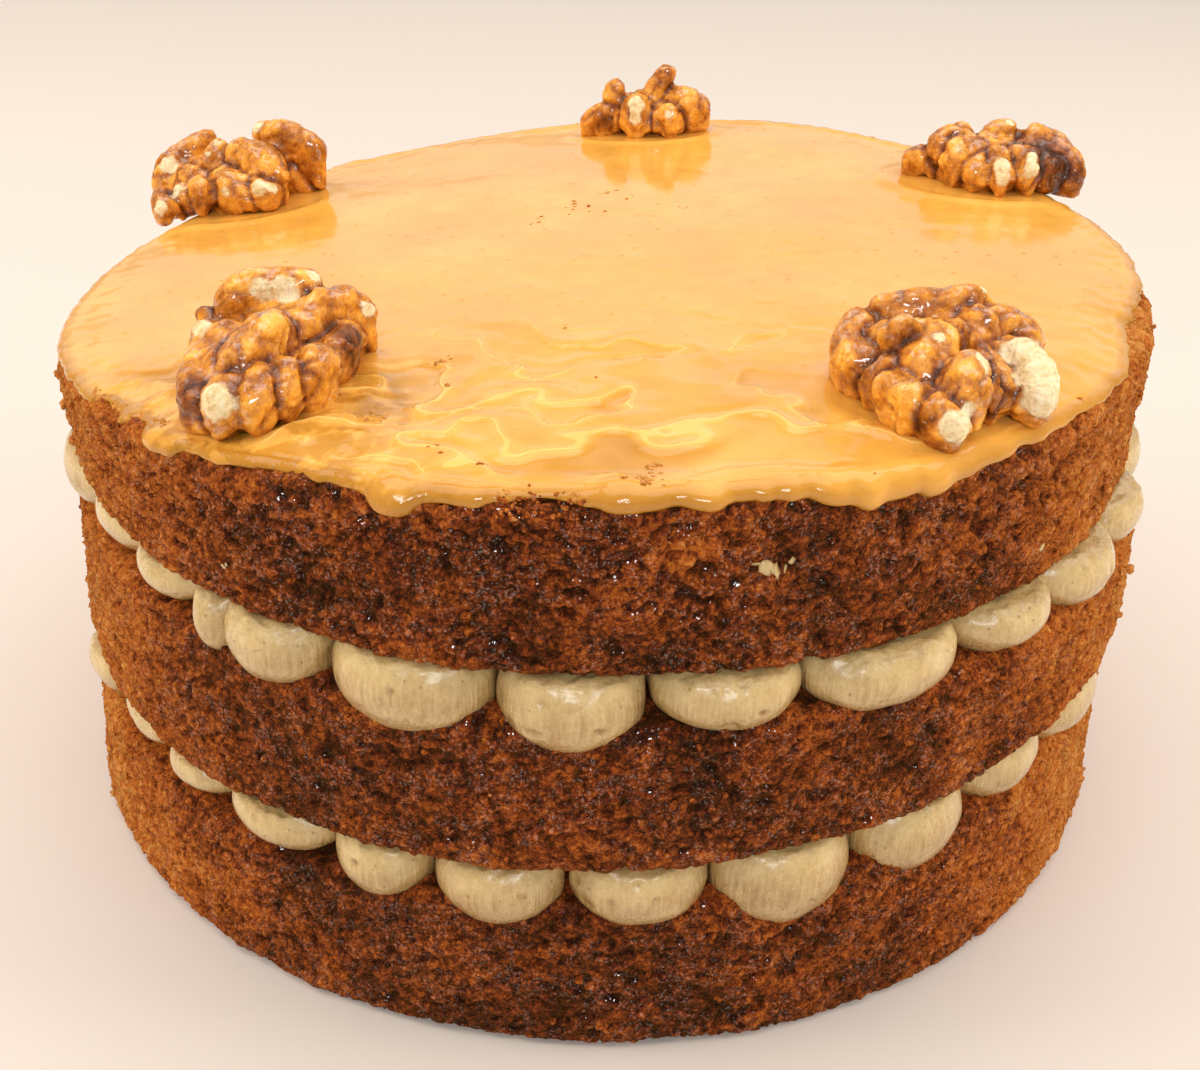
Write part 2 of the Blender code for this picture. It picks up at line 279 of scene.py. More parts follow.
# %% [markdown]
# Most of the cake is wrapped grids: columns go round a layer, or round a dome, and rows go
# from one end of it to the other. A fan of triangles closes each end. Many small shapes can
# also be gathered, and made one piece of, so that a whole ring of domes is one mesh.

# %% Wrapped grids, and gathering shapes
def outward(grid):
    """The outward direction at each point of a wrapped grid."""
    around = np.roll(grid, -1, axis=1) - np.roll(grid, 1, axis=1)
    along = np.gradient(grid, axis=0)
    direction = np.cross(around, along)
    return direction / np.maximum(np.linalg.norm(direction, axis=-1, keepdims=True), 1e-12)


class Gathered:
    """Shapes and the measures of their points, gathered to make one piece."""

    def __init__(self):
        self.count = 0
        self.points = []
        self.quads = []
        self.triangles = []
        self.measures = {}

    def add(self, points, quads, triangles, **measures):
        self.points.append(points)
        self.quads.append(quads + self.count)
        self.triangles.append(triangles + self.count)
        for key, values in measures.items():
            self.measures.setdefault(key, []).append(values)
        self.count += len(points)

    def add_grid(self, grid, turned=False, **measures):
        """A (rows, columns, 3) grid with closed ends. Turned has its rows run the other way."""
        rows, columns = grid.shape[:2]
        row, column = np.meshgrid(np.arange(rows - 1), np.arange(columns), indexing="ij")
        left = row * columns + column
        right = row * columns + (column + 1) % columns
        quads = np.stack([left, right, right + columns, left + columns], axis=-1)
        quads = quads.reshape(-1, 4)
        ring = np.arange(columns)
        beside = (ring + 1) % columns
        last = (rows - 1) * columns
        ends = np.full(columns, rows * columns)
        fans = np.concatenate([np.stack([ends, beside, ring], axis=-1),
                               np.stack([ends + 1, last + ring, last + beside], axis=-1)])
        if turned:
            quads, fans = quads[:, ::-1], fans[:, ::-1]
        closed = {key: np.concatenate([values.ravel(), values[[0, -1]].mean(axis=1)])
                  for key, values in measures.items()}
        points = np.concatenate([grid.reshape(-1, 3), grid[[0, -1]].mean(axis=1)])
        self.add(points, quads, fans, **closed)

    def piece(self, name):
        joined = {key: np.concatenate(values) for key, values in self.measures.items()}
        return mesh_piece(name, np.concatenate(self.points), np.concatenate(self.quads),
                          np.concatenate(self.triangles), joined)


def grid_piece(name, grid, **measures):
    shapes = Gathered()
    shapes.add_grid(grid, **measures)
    return shapes.piece(name)


# %% [markdown]
# ## Writing finishes as sums
# A finish is a network of nodes. Written out link by link it is hard to read, so a small class
# wraps a node's output and lets us add, multiply and subtract it as if it were a number. Each
# of those makes a Math node.

# %% A wire that can be used in sums
class Wire:
    """The output of a node, which can be used in sums."""

    def __init__(self, finish, socket):
        self.finish = finish
        self.socket = socket

    def sum_with(self, operation, first, second):
        return self.finish.node("ShaderNodeMath", {"operation": operation},
                                {0: first, 1: second})

    def __add__(self, other):
        return self.sum_with("ADD", self, other)

    __radd__ = __add__

    def __mul__(self, other):
        return self.sum_with("MULTIPLY", self, other)

    __rmul__ = __mul__

    def __sub__(self, other):
        return self.sum_with("SUBTRACT", self, other)

    def __rsub__(self, other):
        return self.sum_with("SUBTRACT", other, self)

    def __pow__(self, other):
        return self.sum_with("POWER", self, other)

    def at_least(self, other):
        return self.sum_with("MAXIMUM", self, other)


# %% [markdown]
# Everything else, such as a noise texture, a colour ramp or a mix of two colours, comes from
# one method that takes the node's type, its settings and what goes into its sockets. The
# other methods are short names for the nodes that food needs most.

# %% A finish and its nodes
class Finish:
    """A material with a Principled shader, and short ways to make the nodes behind it."""

    def __init__(self, name, **values):
        self.material = bpy.data.materials.new(name)
        self.material.use_nodes = True
        self.tree = self.material.node_tree
        self.shader = self.tree.nodes["Principled BSDF"]
        self.set(**values)

    def set(self, **values):
        for key, value in values.items():
            self.feed(self.shader.inputs[key.replace("_", " ")], value)

    def feed(self, socket, value):
        if isinstance(value, Wire):
            self.tree.links.new(value.socket, socket)
        elif socket.type == "RGBA":
            socket.default_value = (*value, 1.0)
        else:
            socket.default_value = value

    def node(self, kind, settings=None, inputs=None, output=0):
        made = self.tree.nodes.new(kind)
        for key, value in (settings or {}).items():
            if key == "stops":
                self.set_stops(made.color_ramp, value)
            else:
                setattr(made, key, value)
        for key, value in (inputs or {}).items():
            self.feed(made.inputs[key], value)
        return Wire(self, made.outputs[output])

    def set_stops(self, ramp, stops):
        while len(ramp.elements) < len(stops):
            ramp.elements.new(0.5)
        for element, (place, colour) in zip(ramp.elements, stops):
            element.position = place
            element.color = (*colour, 1.0)

    def vector(self, operation, first, second):
        return self.node("ShaderNodeVectorMath", {"operation": operation},
                         {0: first, 1: second})

    def place(self):
        return self.node("ShaderNodeTexCoord", output="Object")

    def across(self):
        """How far right of the cake's middle, in metres."""
        return self.node("ShaderNodeSeparateXYZ", {}, {0: self.place()})

    def stretched(self, scale):
        return self.vector("MULTIPLY", self.place(), scale)

    def noise(self, size, detail=3.0, rough=0.55, vector=None, distortion=0.0, output=0):
        return self.node("ShaderNodeTexNoise", {}, {
            "Vector": vector or self.place(), "Scale": 1 / size, "Detail": detail,
            "Roughness": rough, "Distortion": distortion}, output)

    def warped(self, size, amount):
        """Places pushed about by noise, so that a pattern laid on them comes out torn."""
        centred = self.vector("SUBTRACT", self.noise(size, 2.0, 0.5, output="Color"),
                              (0.5, 0.5, 0.5))
        return self.vector("ADD", self.place(),
                           self.vector("MULTIPLY", centred, (amount, amount, amount)))

    def cells(self, size, vector=None, output="Distance"):
        return self.node("ShaderNodeTexVoronoi", {}, {
            "Vector": vector or self.place(), "Scale": 1 / size}, output)

    def measure(self, name):
        return self.node("ShaderNodeAttribute", {"attribute_name": name}, output="Fac")

    def between(self, value, start, end):
        """0 at start, 1 at end, and smooth between."""
        return self.node("ShaderNodeMapRange", {"interpolation_type": "SMOOTHSTEP"}, {
            "Value": value, "From Min": start, "From Max": end})

    def mix(self, mask, first, second):
        return self.node("ShaderNodeMix", {"data_type": "RGBA"},
                         {0: mask, 6: first, 7: second}, output=2)

    def ramp(self, value, stops):
        return self.node("ShaderNodeValToRGB", {"stops": stops}, {0: value})

    def bump(self, height, depth):
        """Fine relief of this many metres."""
        return self.node("ShaderNodeBump", {}, {
            "Height": height, "Distance": depth, "Strength": 1.0})

    def cover(self, *pieces):
        for piece in pieces:
            piece.data.materials.clear()
            piece.data.materials.append(self.material)
            print(self.material.name, "covers", piece.name)


# %% [markdown]
# ## Sponge
# A coffee sponge's side is all torn bubbles: pores from a pinprick to a couple of
# millimetres, dark and moist inside, with ragged walls of lighter crumb between them. Bump
# alone would leave the outline of the cake as clean as a tin, so the pores are cut in
# the mesh. First we need the plain outline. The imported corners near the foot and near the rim
# give a radius for each direction, and a few waves round the circle pass through them.

# %% The sponges' outlines
def harmonics(turn):
    return np.stack([np.ones_like(turn), np.cos(turn), np.sin(turn),
                     np.cos(2 * turn), np.sin(2 * turn)], axis=-1)


class Outline:
    """A sponge's radius at a share of its height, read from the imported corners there."""

    def __init__(self, node, start, end):
        corners = np.array([vertex.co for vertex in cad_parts[node].data.vertices])
        floor = floor_of[node].at(corners[:, 0], corners[:, 1])
        roof = roof_of[node].at(corners[:, 0], corners[:, 1])
        share = (corners[:, 2] - floor) / (roof - floor)
        across = corners[:, 0] - MIDDLE[0]
        deep = corners[:, 1] - MIDDLE[1]
        radius = np.hypot(across, deep)
        chosen = (share > start) & (share < end) & (radius > 0.085)
        turn = np.arctan2(deep[chosen], across[chosen])
        self.weights = np.linalg.lstsq(harmonics(turn), radius[chosen], rcond=None)[0]

    def at(self, turn):
        return harmonics(turn) @ self.weights


foot_of = {name: Outline(name, 0.08, 0.35) for name in SPONGES}
rim_of = {name: Outline(name, 0.80, 0.99) for name in SPONGES}
for name in SPONGES:
    print(name, "is", (2000 * foot_of[name].weights[0]).round(1), "mm across its foot and",
          (2000 * rim_of[name].weights[0]).round(1), "mm across its rim")


# %% [markdown]
# The outline is turned into a grid, in strips: under the sponge, round its foot, up its side,
# round its rim and in over its roof. Rows are packed where the crumb shows and are few where
# another layer hides it.

# %% The sponges' grids
SPONGE_COLUMNS = 1100
STRIP_ROWS = {"foot": 12, "side": 48, "rim": 5}
ROOF_ROW_GAP = 0.0005


def strip_steps(roof_strip):
    """The strip of each row, and how far along the strip it is."""
    steps = [("under", share) for share in (0.0, 0.4, 0.75)]
    for strip, count in STRIP_ROWS.items():
        steps += [(strip, share) for share in np.linspace(0, 1, count, endpoint=False)]
    roof_rows = max(3, round(roof_strip / ROOF_ROW_GAP))
    return steps + [("roof", share) for share in np.linspace(0, 1, roof_rows)]


def sponge_grid(name, foot_round, rim_round, roof_strip):
    """The rows of one sponge, and how much of the crumb's relief each of them shows."""
    turn = np.linspace(0, 2 * math.pi, SPONGE_COLUMNS, endpoint=False)
    foot = foot_of[name].at(turn)
    rim = rim_of[name].at(turn)
    rows = []
    shown = []
    for strip, share in strip_steps(roof_strip):
        angle = share * math.pi / 2
        rise = 0.0
        if strip == "under":
            radius = foot - foot_round - 0.007 * (1 - share)
        elif strip == "foot":
            radius = foot - foot_round * (1 - math.sin(angle))
            rise = foot_round * (1 - math.cos(angle))
        elif strip == "side":
            radius = foot + (rim - foot) * share
        elif strip == "rim":
            radius = rim - rim_round * (1 - math.cos(angle))
            rise = -rim_round * (1 - math.sin(angle))
        else:
            radius = rim - rim_round - roof_strip * share
        x = MIDDLE[0] + radius * np.cos(turn)
        y = MIDDLE[1] + radius * np.sin(turn)
        floor = floor_of[name].at(x, y)
        roof = roof_of[name].at(x, y)
        if strip == "side":
            z = floor + foot_round + (roof - rim_round - floor - foot_round) * share
        else:
            z = (floor if strip in ("under", "foot") else roof) + rise
        rows.append(np.stack([x, y, z], axis=-1))
        hidden = {"under": share, "roof": 1 - share}.get(strip, 1.0)
        shown.append(min(1.0, 2.5 * hidden))
    return np.array(rows), np.array(shown)[:, None]


print("a sponge's grid has", len(strip_steps(0.003)), "rows of", SPONGE_COLUMNS, "points")

# %% [markdown]
# Now the crumb is cut in. Torn hollows, crannies and round bubbles of mixed sizes are strewn
# in space, bent by noise, and pushed into the side, and grains stand out between them. Finer
# grain is left to the finish. The top layer has the most open crumb.

# %% Cut the crumb
def crumb_relief(points, openness):
    """Pores as depth, and grain and sway as height, all in metres."""
    # the crumb sinks while it cools, so its pores are wider than they are tall
    bent = push(points, 0.0019, 0.0010, 11) * np.array([1.0, 1.0, 1.45])
    torn = smooth_step(-noise(bent, 0.0030, 21), 0.32, 0.60)
    crannies = smooth_step(-noise(bent, 0.0015, 22), 0.20, 0.50)
    round_ones = bubbles(bent, 0.0030, 0.0011, 30, rarity=2.4)
    pores = openness * (0.0010 * torn + 0.0007 * crannies + 0.6 * round_ones)
    clumps = grains(bent, 0.0016, 24)
    grain = 0.00042 * (0.36 - clumps ** 2) + 0.00026 * layered_noise(points, 0.0012, 40)
    sway = 0.00040 * layered_noise(points, 0.016, 50)
    return pores, grain, sway


def make_sponge(name, foot_round, rim_round, roof_strip, openness, moist):
    grid, shown = sponge_grid(name, foot_round, rim_round, roof_strip)
    direction = outward(grid)
    pores, grain, sway = crumb_relief(grid, openness)
    ragged = 0.0004 * np.maximum(0, noise(grid, 0.0045, 60))
    height = (sway + grain + ragged + 0.0002 - pores) * shown
    relief = grid + direction * height[..., None]
    relief[..., 2] = np.maximum(relief[..., 2], cake_low.z)
    # moist is painted shade: the whole layer is painted this much darker, for the shade under the
    # layers that overhang it
    piece = grid_piece(f"{name}_crumb", relief, pore=pores * 1000,
                       grain=(grain + sway) * 1000, moist=np.full_like(pores, moist))
    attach(piece, "root")
    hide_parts(name)
    return piece


# the last number of each is painted shade: the middle and bottom layers are painted darker, as the
# shade under the layers above them
sponges = [
    make_sponge("sponge_bottom", 0.0022, 0.0022, 0.003, 0.8, 0.03),
    make_sponge("sponge_middle", 0.0022, 0.0024, 0.003, 0.75, 0.07),
    make_sponge("sponge_top", 0.0020, 0.0022, 0.0055, 1.0, 0.0),
]

# %% [markdown]
# The crumb's colour follows its shape. Deep pores are painted nearly black-brown, partly their
# damp crumb and partly painted shade for the shade that falls in them, and the seams and cracks
# between grains are painted darker, as painted shade too. Walls are a red coffee brown, and the
# tips of the grain dry to orange-brown. The sides of the cake are painted lighter than its
# front, as painted light where the side light falls on them, and the middle and bottom layers
# a little darker, as painted shade under the layers that overhang them. The grain finer than
# the mesh is bump, and small wet spots under a clear coat make some of the crumb glisten.

# %% The sponge's finish
def make_sponge_finish():
    finish = Finish("coffee_sponge", Specular_IOR_Level=0.12, Diffuse_Roughness=1.0,
                    Sheen_Weight=0.20, Sheen_Roughness=0.4, Sheen_Tint=(1.0, 0.36, 0.05),
                    Coat_IOR=1.9, Coat_Roughness=0.10)
    torn = finish.warped(0.0011, 0.0014)
    clumps = finish.cells(0.00115, torn)
    clump_tint = finish.cells(0.00115, torn, "Color")
    bits = finish.cells(0.00050, torn)
    bit_tint = finish.cells(0.00050, torn, "Color")
    fine = finish.noise(0.0010, 5, 0.7)
    patches = finish.noise(0.007, 2)
    web = finish.noise(0.0017, 3, 0.6, finish.vector("MULTIPLY", torn, (1.0, 1.0, 1.6))) - 0.5
    webs = finish.between(web * web, 0.0016, 0.0) \
        * finish.between(finish.noise(0.006, 2), 0.44, 0.58)
    # painted shade: the seams between grains and the cracks between the finer bits are painted
    # darker, for the shade that falls in them
    seam_shade = finish.between(clumps, 0.50, 0.85)
    crack_shade = finish.between(bits, 0.48, 0.80)
    # painted light: the sides of the cake are painted lighter and more orange than its front, where
    # the side light falls on them
    flanks = finish.between(finish.across() ** 2, 0.0016, 0.0066)
    # painted shade: the moist measure darkens the lower layers, and deep pores are painted darker,
    # partly their damp crumb and partly the shade in them
    lift = 0.49 + finish.measure("grain") * 0.38 + (fine - 0.5) * 0.95 \
        + (clump_tint - 0.5) * 0.28 + (bit_tint - 0.5) * 0.38 + (patches - 0.5) * 0.5 \
        + webs * 0.18 + flanks * 0.56 - finish.measure("pore") * 0.30 - seam_shade * 0.18 \
        - crack_shade * 0.18 - finish.measure("moist")
    colour = finish.ramp(lift * 0.8, (
        (0.0, (0.020, 0.0040, 0.0014)),
        (0.20, (0.084, 0.0145, 0.0040)),
        (0.36, (0.225, 0.039, 0.0076)),
        (0.58, (0.50, 0.116, 0.015)),
        (0.80, (0.70, 0.225, 0.036)),
        (1.0, (0.84, 0.38, 0.085)),
    ))
    wet = finish.between(finish.noise(0.004, 3), 0.44, 0.54)
    drops = finish.between(bits, 0.42, 0.22) * wet * (1.0 - flanks * 0.7)
    relief = fine * 0.8 - clumps * 0.30 - bits * 0.34 + webs * 0.25
    finish.set(Base_Color=colour, Roughness=0.85 - drops * 0.3, Coat_Weight=drops,
               Normal=finish.bump(relief, 0.0012))
    return finish


sponge_finish = make_sponge_finish()
sponge_finish.cover(*sponges)

# %% [markdown]
# ## Piped domes
# Each filling ends in a ring of buttercream domes. A baker pipes them with a plain round
# nozzle, and no two come out alike. So each ring is a short list: how wide each dome in front
# is, how far it sags and how far it bulges out, from left to right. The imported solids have
# the same places and sizes. The domes behind are nearly even, and waves vary them a little.

# %% The rings' plan
MM = 0.001
# degrees from the front, then shares of a full dome's height and reach
UPPER_RING = {
    "start": -63.0,
    "widths": (12.7, 11.1, 14.7, 15.6, 13.5, 14.0, 16.4, 13.0, 14.0, 13.0),
    "sags": (0.60, 0.60, 0.96, 1.06, 1.08, 0.79, 0.86, 0.70, 0.84, 0.80),
    "reaches": (0.66, 0.80, 1.0, 1.02, 1.0, 0.96, 1.0, 0.94, 0.98, 0.96),
    "behind": 14,
}
LOWER_RING = {
    "start": -61.0,
    "widths": (12.0, 10.5, 13.2, 10.3, 12.8, 13.4, 14.4, 13.6, 12.8),
    "sags": (0.58, 0.58, 0.68, 0.88, 0.99, 0.97, 1.24, 1.12, 0.82),
    "reaches": (0.70, 0.80, 0.88, 0.94, 1.0, 1.0, 1.06, 1.0, 0.86),
    "behind": 16,
}
FOLDED_DOME = 3
# torn pits: millimetres right of the dome's middle and below its top, then width and height
UPPER_PITS = {
    4: ((0.3, 4.0, 0.6, 0.5),),
    5: ((-4.6, 8.0, 0.8, 0.6), (4.2, 7.0, 0.5, 0.5)),
    6: ((-0.6, 7.4, 0.9, 1.1), (3.4, 5.0, 0.4, 0.4)),
    9: ((1.0, 4.4, 0.5, 1.8),),
}
LOWER_PITS = {6: ((2.0, 4.0, 0.5, 0.5),), 4: ((-2.0, 3.0, 0.6, 0.5),)}


def dome_plan(ring):
    """The left border, width, sag and reach of every dome, with even ones behind."""
    domes = list(zip(ring["widths"], ring["sags"], ring["reaches"]))
    rest = (360 - sum(ring["widths"])) / ring["behind"]
    for i in range(ring["behind"]):
        width = rest + 0.7 * math.sin(2.4 * i) - 0.7 * math.sin(2.4 * (i - 1))
        domes.append((width, 0.82 + 0.12 * math.sin(1.9 * i + 0.5),
                      0.88 + 0.08 * math.cos(1.3 * i)))
    left = ring["start"]
    plan = []
    for width, sag, reach in domes:
        plan.append((left, width, sag, reach))
        left += width
    return plan


print("domes in the upper and the lower ring:", len(dome_plan(UPPER_RING)),
      len(dome_plan(LOWER_RING)))

# %% [markdown]
# A dome starts as a squashed ball. Its grid begins at the point that faces outwards and opens
# round it like ripples, with fine rows where it shows and a few inside the cake. Then the next
# sponge presses it flat above, and its neighbours press it narrow. A hard cut would leave
# sharp edges, so near each limit the points slow down and never quite reach it.

# %% Shape and squash a dome
DOME_REACH = 0.0090
DOME_HALF_HEIGHT = 0.0082
DOME_HEADROOM = 0.64
DOME_MIDDLE_RADIUS = 0.0838
# a dome bulges more squarely than a ball, so it is made a little wider and deeper
FULLNESS = 2.05
LOWER_HALF = 1.01
DOME_SIDES = 1.01
# how near a dome comes to the sponge and to its neighbours, and how early it slows down
SPONGE_GAP = 0.0001
SPONGE_SOFT = 0.0012
BORDER_GAP = 0.00005
BORDER_SOFT = 0.0006
BULGE_SHARE = 0.12


def facing_out(bearing):
    """The outward and the sideways direction on plan, for degrees from the front."""
    turn = math.radians(bearing)
    return (np.array([math.sin(turn), -math.cos(turn)]),
            np.array([math.cos(turn), math.sin(turn)]))


def dome_grid(bearing, half_width, reach, half_height, roof, columns, rows):
    opening = np.concatenate([np.linspace(0.02, 1.9, rows), [2.3, 2.8]])[:, None]
    spin = np.linspace(0, 2 * math.pi, columns, endpoint=False)[None, :]
    across = np.sin(opening) * np.cos(spin)
    up = np.sin(opening) * np.sin(spin)
    up = np.where(up < 0, LOWER_HALF * up, up)
    out = np.cos(opening) * np.ones_like(spin)
    out = np.sign(out) * np.abs(out) ** (2 / FULLNESS)
    outwards, sideways = facing_out(bearing)
    centre = outwards * DOME_MIDDLE_RADIUS + MIDDLE
    plan = centre + (out * reach)[..., None] * outwards \
        + (across * half_width * DOME_SIDES)[..., None] * sideways
    height = float(roof.at(*centre)) - DOME_HEADROOM * half_height + up * half_height
    return np.concatenate([plan, height[..., None]], axis=-1)


def slowed(value, limit, soft):
    """The value, slowed from `soft` before the limit on, so that it never passes it."""
    over = value - limit
    return np.where(over > -soft, limit - soft * np.exp(-np.maximum(over + soft, 0) / soft),
                    value)


def squash_dome(grid, left, right, roof, bearing):
    """Press the dome against the sponge above and against the domes beside it."""
    pressed = grid.copy()
    limit = roof.at(grid[..., 0], grid[..., 1]) - SPONGE_GAP
    pressed[..., 2] = slowed(grid[..., 2], limit, SPONGE_SOFT)
    bulge = np.maximum(grid[..., 2] - limit, 0)
    pressed[..., :2] += (BULGE_SHARE * bulge)[..., None] * facing_out(bearing)[0]
    for side, border in ((-1, left), (1, right)):
        away = facing_out(border)[1] * side
        past = (pressed[..., :2] - MIDDLE) @ away + BORDER_GAP
        pressed[..., :2] += (slowed(past, 0.0, BORDER_SOFT) - past)[..., None] * away
    return pressed


print("a dome without neighbours bulges", DOME_MIDDLE_RADIUS + DOME_REACH, "m from the middle")

# %% [markdown]
# The relief is what the nozzle and the next layer leave: soft lumps, a torn upper edge where
# the sponge drags the cream, round air holes and a few larger pits. The same numbers are kept
# as measures. All the domes of a ring make one piece, which is light to handle.

# %% Make the rings of domes
# columns and rows of a dome in front, and of one behind
FRONT_GRID = (72, 30)
BACK_GRID = (36, 15)


def dome_relief(grid, direction, roof, bearing, pits):
    """The grid with its relief, and how deep the holes in it are, in metres."""
    lumps = 0.00022 * noise(grid, 0.0055, 70) + 0.00008 * noise(grid, 0.0021, 71)
    below = roof.at(grid[..., 0], grid[..., 1]) - grid[..., 2]
    edge = 1 - smooth_step(below, 0.0004, 0.0030)
    creases = np.abs(noise(grid, 0.0026, 74))
    torn = edge * (0.00038 * layered_noise(grid, 0.0016, 72) - 0.0002 * (1 - creases) ** 4)
    holes = 0.45 * bubbles(grid, 0.0038, 0.0011, 73, rarity=3.4)
    sideways = (grid[..., :2] - MIDDLE) @ facing_out(bearing)[1]
    for across, down, wide, tall in pits:
        ragged = 0.0005 * noise(grid, 0.0012, 75)
        gap = np.hypot((sideways - across * MM) / wide, (below - down * MM) / tall)
        holes = holes + 0.0009 * np.exp(-((gap + ragged) / MM) ** 2)
    return grid + direction * (lumps + torn - holes)[..., None], holes


def make_ring(name, prefix, ring, roof, pits, shade, folded=None):
    shapes = Gathered()
    plan = dome_plan(ring)
    for number, (left, width, sag, reach) in enumerate(plan, start=1):
        columns, rows = FRONT_GRID if number <= len(ring["widths"]) else BACK_GRID
        bearing = left + width / 2
        half_width = DOME_MIDDLE_RADIUS * math.tan(math.radians(width / 2)) * 1.02
        balls = []
        if number == folded:
            # this dome was piped in two goes, so a narrow fold stands at its left
            balls.append((left + 2.6, 0.0044, 0.0082, 0.0074))
            bearing += 1.6
            half_width *= 0.84
        balls.append((bearing, half_width, DOME_REACH * reach, DOME_HALF_HEIGHT * sag))
        for facing, half, out, tall in balls:
            grid = dome_grid(facing, half, out, tall, roof, columns, rows)
            grid = squash_dome(grid, left, left + width, roof, facing)
            grid, holes = dome_relief(grid, -outward(grid), roof, facing, pits.get(number, ()))
            below = roof.at(grid[..., 0], grid[..., 1]) - grid[..., 2]
            wrinkled = 0.4 * (1 - smooth_step(below, 0.0008, 0.0032))
            if number == folded:
                wrinkled = np.maximum(wrinkled, 1 - smooth_step(below, 0.0030, 0.0062))
            shapes.add_grid(grid, turned=True, dent=holes * 1000, below=below * 1000,
                            ring=np.full_like(below, shade), wrinkled=wrinkled)
    piece = shapes.piece(name)
    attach(piece, "root")
    nodes = [f"{prefix}_{number:02d}" for number in range(1, len(plan) + 1)]
    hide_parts(*nodes)
    return piece


# the last number is painted shade: the lower ring is painted 0.04 darker than the upper, as less
# light reaches it
upper_domes = make_ring("upper_cream_domes", "upper_dome", UPPER_RING,
                        floor_of["sponge_top"], UPPER_PITS, 0.0, FOLDED_DOME)
lower_domes = make_ring("lower_cream_domes", "lower_dome", LOWER_RING,
                        floor_of["sponge_middle"], LOWER_PITS, -0.04)

# %% [markdown]
# Buttercream is a satin, slightly warm beige. The nozzle leaves fine lines that run down each
# dome, tiny air bubbles leave pinpricks, and the fat gives a soft sheen, which is a rough
# clear coat. Painted shade darkens the lower half of each dome, its top where it tucks under
# the sponge, its holes and pinpricks, and the whole lower ring a little. The two fillings
# between the rings keep their imported shape and get it too.

# %% The buttercream's finish
def make_cream_finish():
    finish = Finish("coffee_buttercream", Specular_IOR_Level=0.5, Coat_Weight=0.85,
                    Coat_Roughness=0.31, Subsurface_Weight=0.06, Subsurface_Scale=0.003,
                    Subsurface_Radius=(1.0, 0.7, 0.4))
    lines = finish.noise(0.00055, 2, 0.6, finish.stretched((1.0, 1.0, 0.05)))
    mottle = finish.noise(0.0035, 3)
    fine = finish.noise(0.0006, 4, 0.6)
    below = finish.measure("below")
    pricks = finish.between(finish.cells(0.0019), 0.12, 0.05)
    folds = finish.noise(0.0015, 2, 0.5, finish.stretched((0.45, 0.45, 1.0)), 0.8)
    # painted shade: the lower half of each dome is painted darker, as less light falls on it; the
    # same mask makes the nozzle lines stronger there
    lower_half = finish.between(below, 1.5, 5.5)
    # painted shade: the dome's top, where it tucks under the sponge above, is painted darker
    rim = finish.between(below, 1.6, 0.2)
    # the ring measure adds each ring's painted shade
    shade = 0.495 + finish.measure("ring") + (mottle - 0.5) * 0.55 + (fine - 0.5) * 0.35 \
        + (lines - 0.5) * (0.25 + lower_half * 0.45) - lower_half * 0.19 - rim * 0.12
    # painted shade: holes in the domes and the pinpricks are painted darker, for the shade in them
    colour = finish.ramp(shade - finish.measure("dent") * 0.35 - pricks * 0.2, (
        (0.05, (0.38, 0.205, 0.054)),
        (0.50, (0.63, 0.448, 0.190)),
        (0.95, (0.78, 0.61, 0.345)),
    ))
    relief = lines * (0.4 + lower_half * 0.7) + fine * 0.45 - pricks * 0.7 \
        + folds * finish.measure("wrinkled") * 3.0
    finish.set(Base_Color=colour, Roughness=0.18 + fine * 0.16,
               Normal=finish.bump(relief, 0.00024))
    return finish


cream_finish = make_cream_finish()
cream_finish.cover(upper_domes, lower_domes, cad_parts["filling_lower"],
                   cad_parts["filling_upper"])

# %% [markdown]
# ## Coffee icing
# Glace icing is poured on and pushed about with a palette knife. It levels itself into a
# glossy sheet with a thick rounded edge, which creeps over the rim in some places and stops
# short of it in others. Simulating the flow would take long and would not stop where we want.
# So the edge is a circle that swellings, drips and notches push in and out, and whatever runs
# past the rim's round corner turns down the side.

# %% The icing's edge
RIM_ROUND = 0.0016
# about how far the rim is from the middle
RIM_RADIUS = 0.09
# bearing from the front and half width in degrees, then how much further it runs in metres
ICING_RUNS = (
    (-80, 14, 0.0012), (-27, 9, -0.0012), (-16, 5, 0.0008), (-4.6, 2.6, -0.0016),
    (8, 7, 0.0006), (22, 7, 0.0018), (31, 8, 0.0006), (70, 9, -0.0026),
    (-112, 12, 0.0014), (150, 14, 0.0014),
)
DRIPS = (
    (-16.2, 2.0, 0.0021), (-40, 2.2, 0.0008), (1.8, 2.2, 0.0010), (8.2, 1.6, 0.0008),
    (21.5, 1.2, 0.0007), (28.3, 1.5, 0.0010), (118, 2.5, 0.0022), (-141, 2.2, 0.0026),
    (171, 1.8, 0.0016),
)
# where a notch starts and ends, and how deep it is
NOTCHES = ((-54, -47, 0.0018), (-47, -42, 0.0022), (-38, -33, 0.0006))
# bearing and half width, then how much thicker (or, below 0, thinner) the bead is there
BEAD_CHANGES = (
    (-4.6, 3.0, -0.60), (1.6, 1.8, 0.50), (-16.2, 1.4, 0.40), (-60, 32, -0.62),
    (62, 24, -0.58), (12, 6.0, 0.10), (21.5, 1.4, 0.25), (28.3, 1.2, 0.20),
)


def apart(bearing, middle):
    return (bearing - middle + 180) % 360 - 180


def swellings(bearing, table, bluntness=2):
    return sum(size * np.exp(-np.abs(apart(bearing, middle) / half_width) ** bluntness)
               for middle, half_width, size in table)


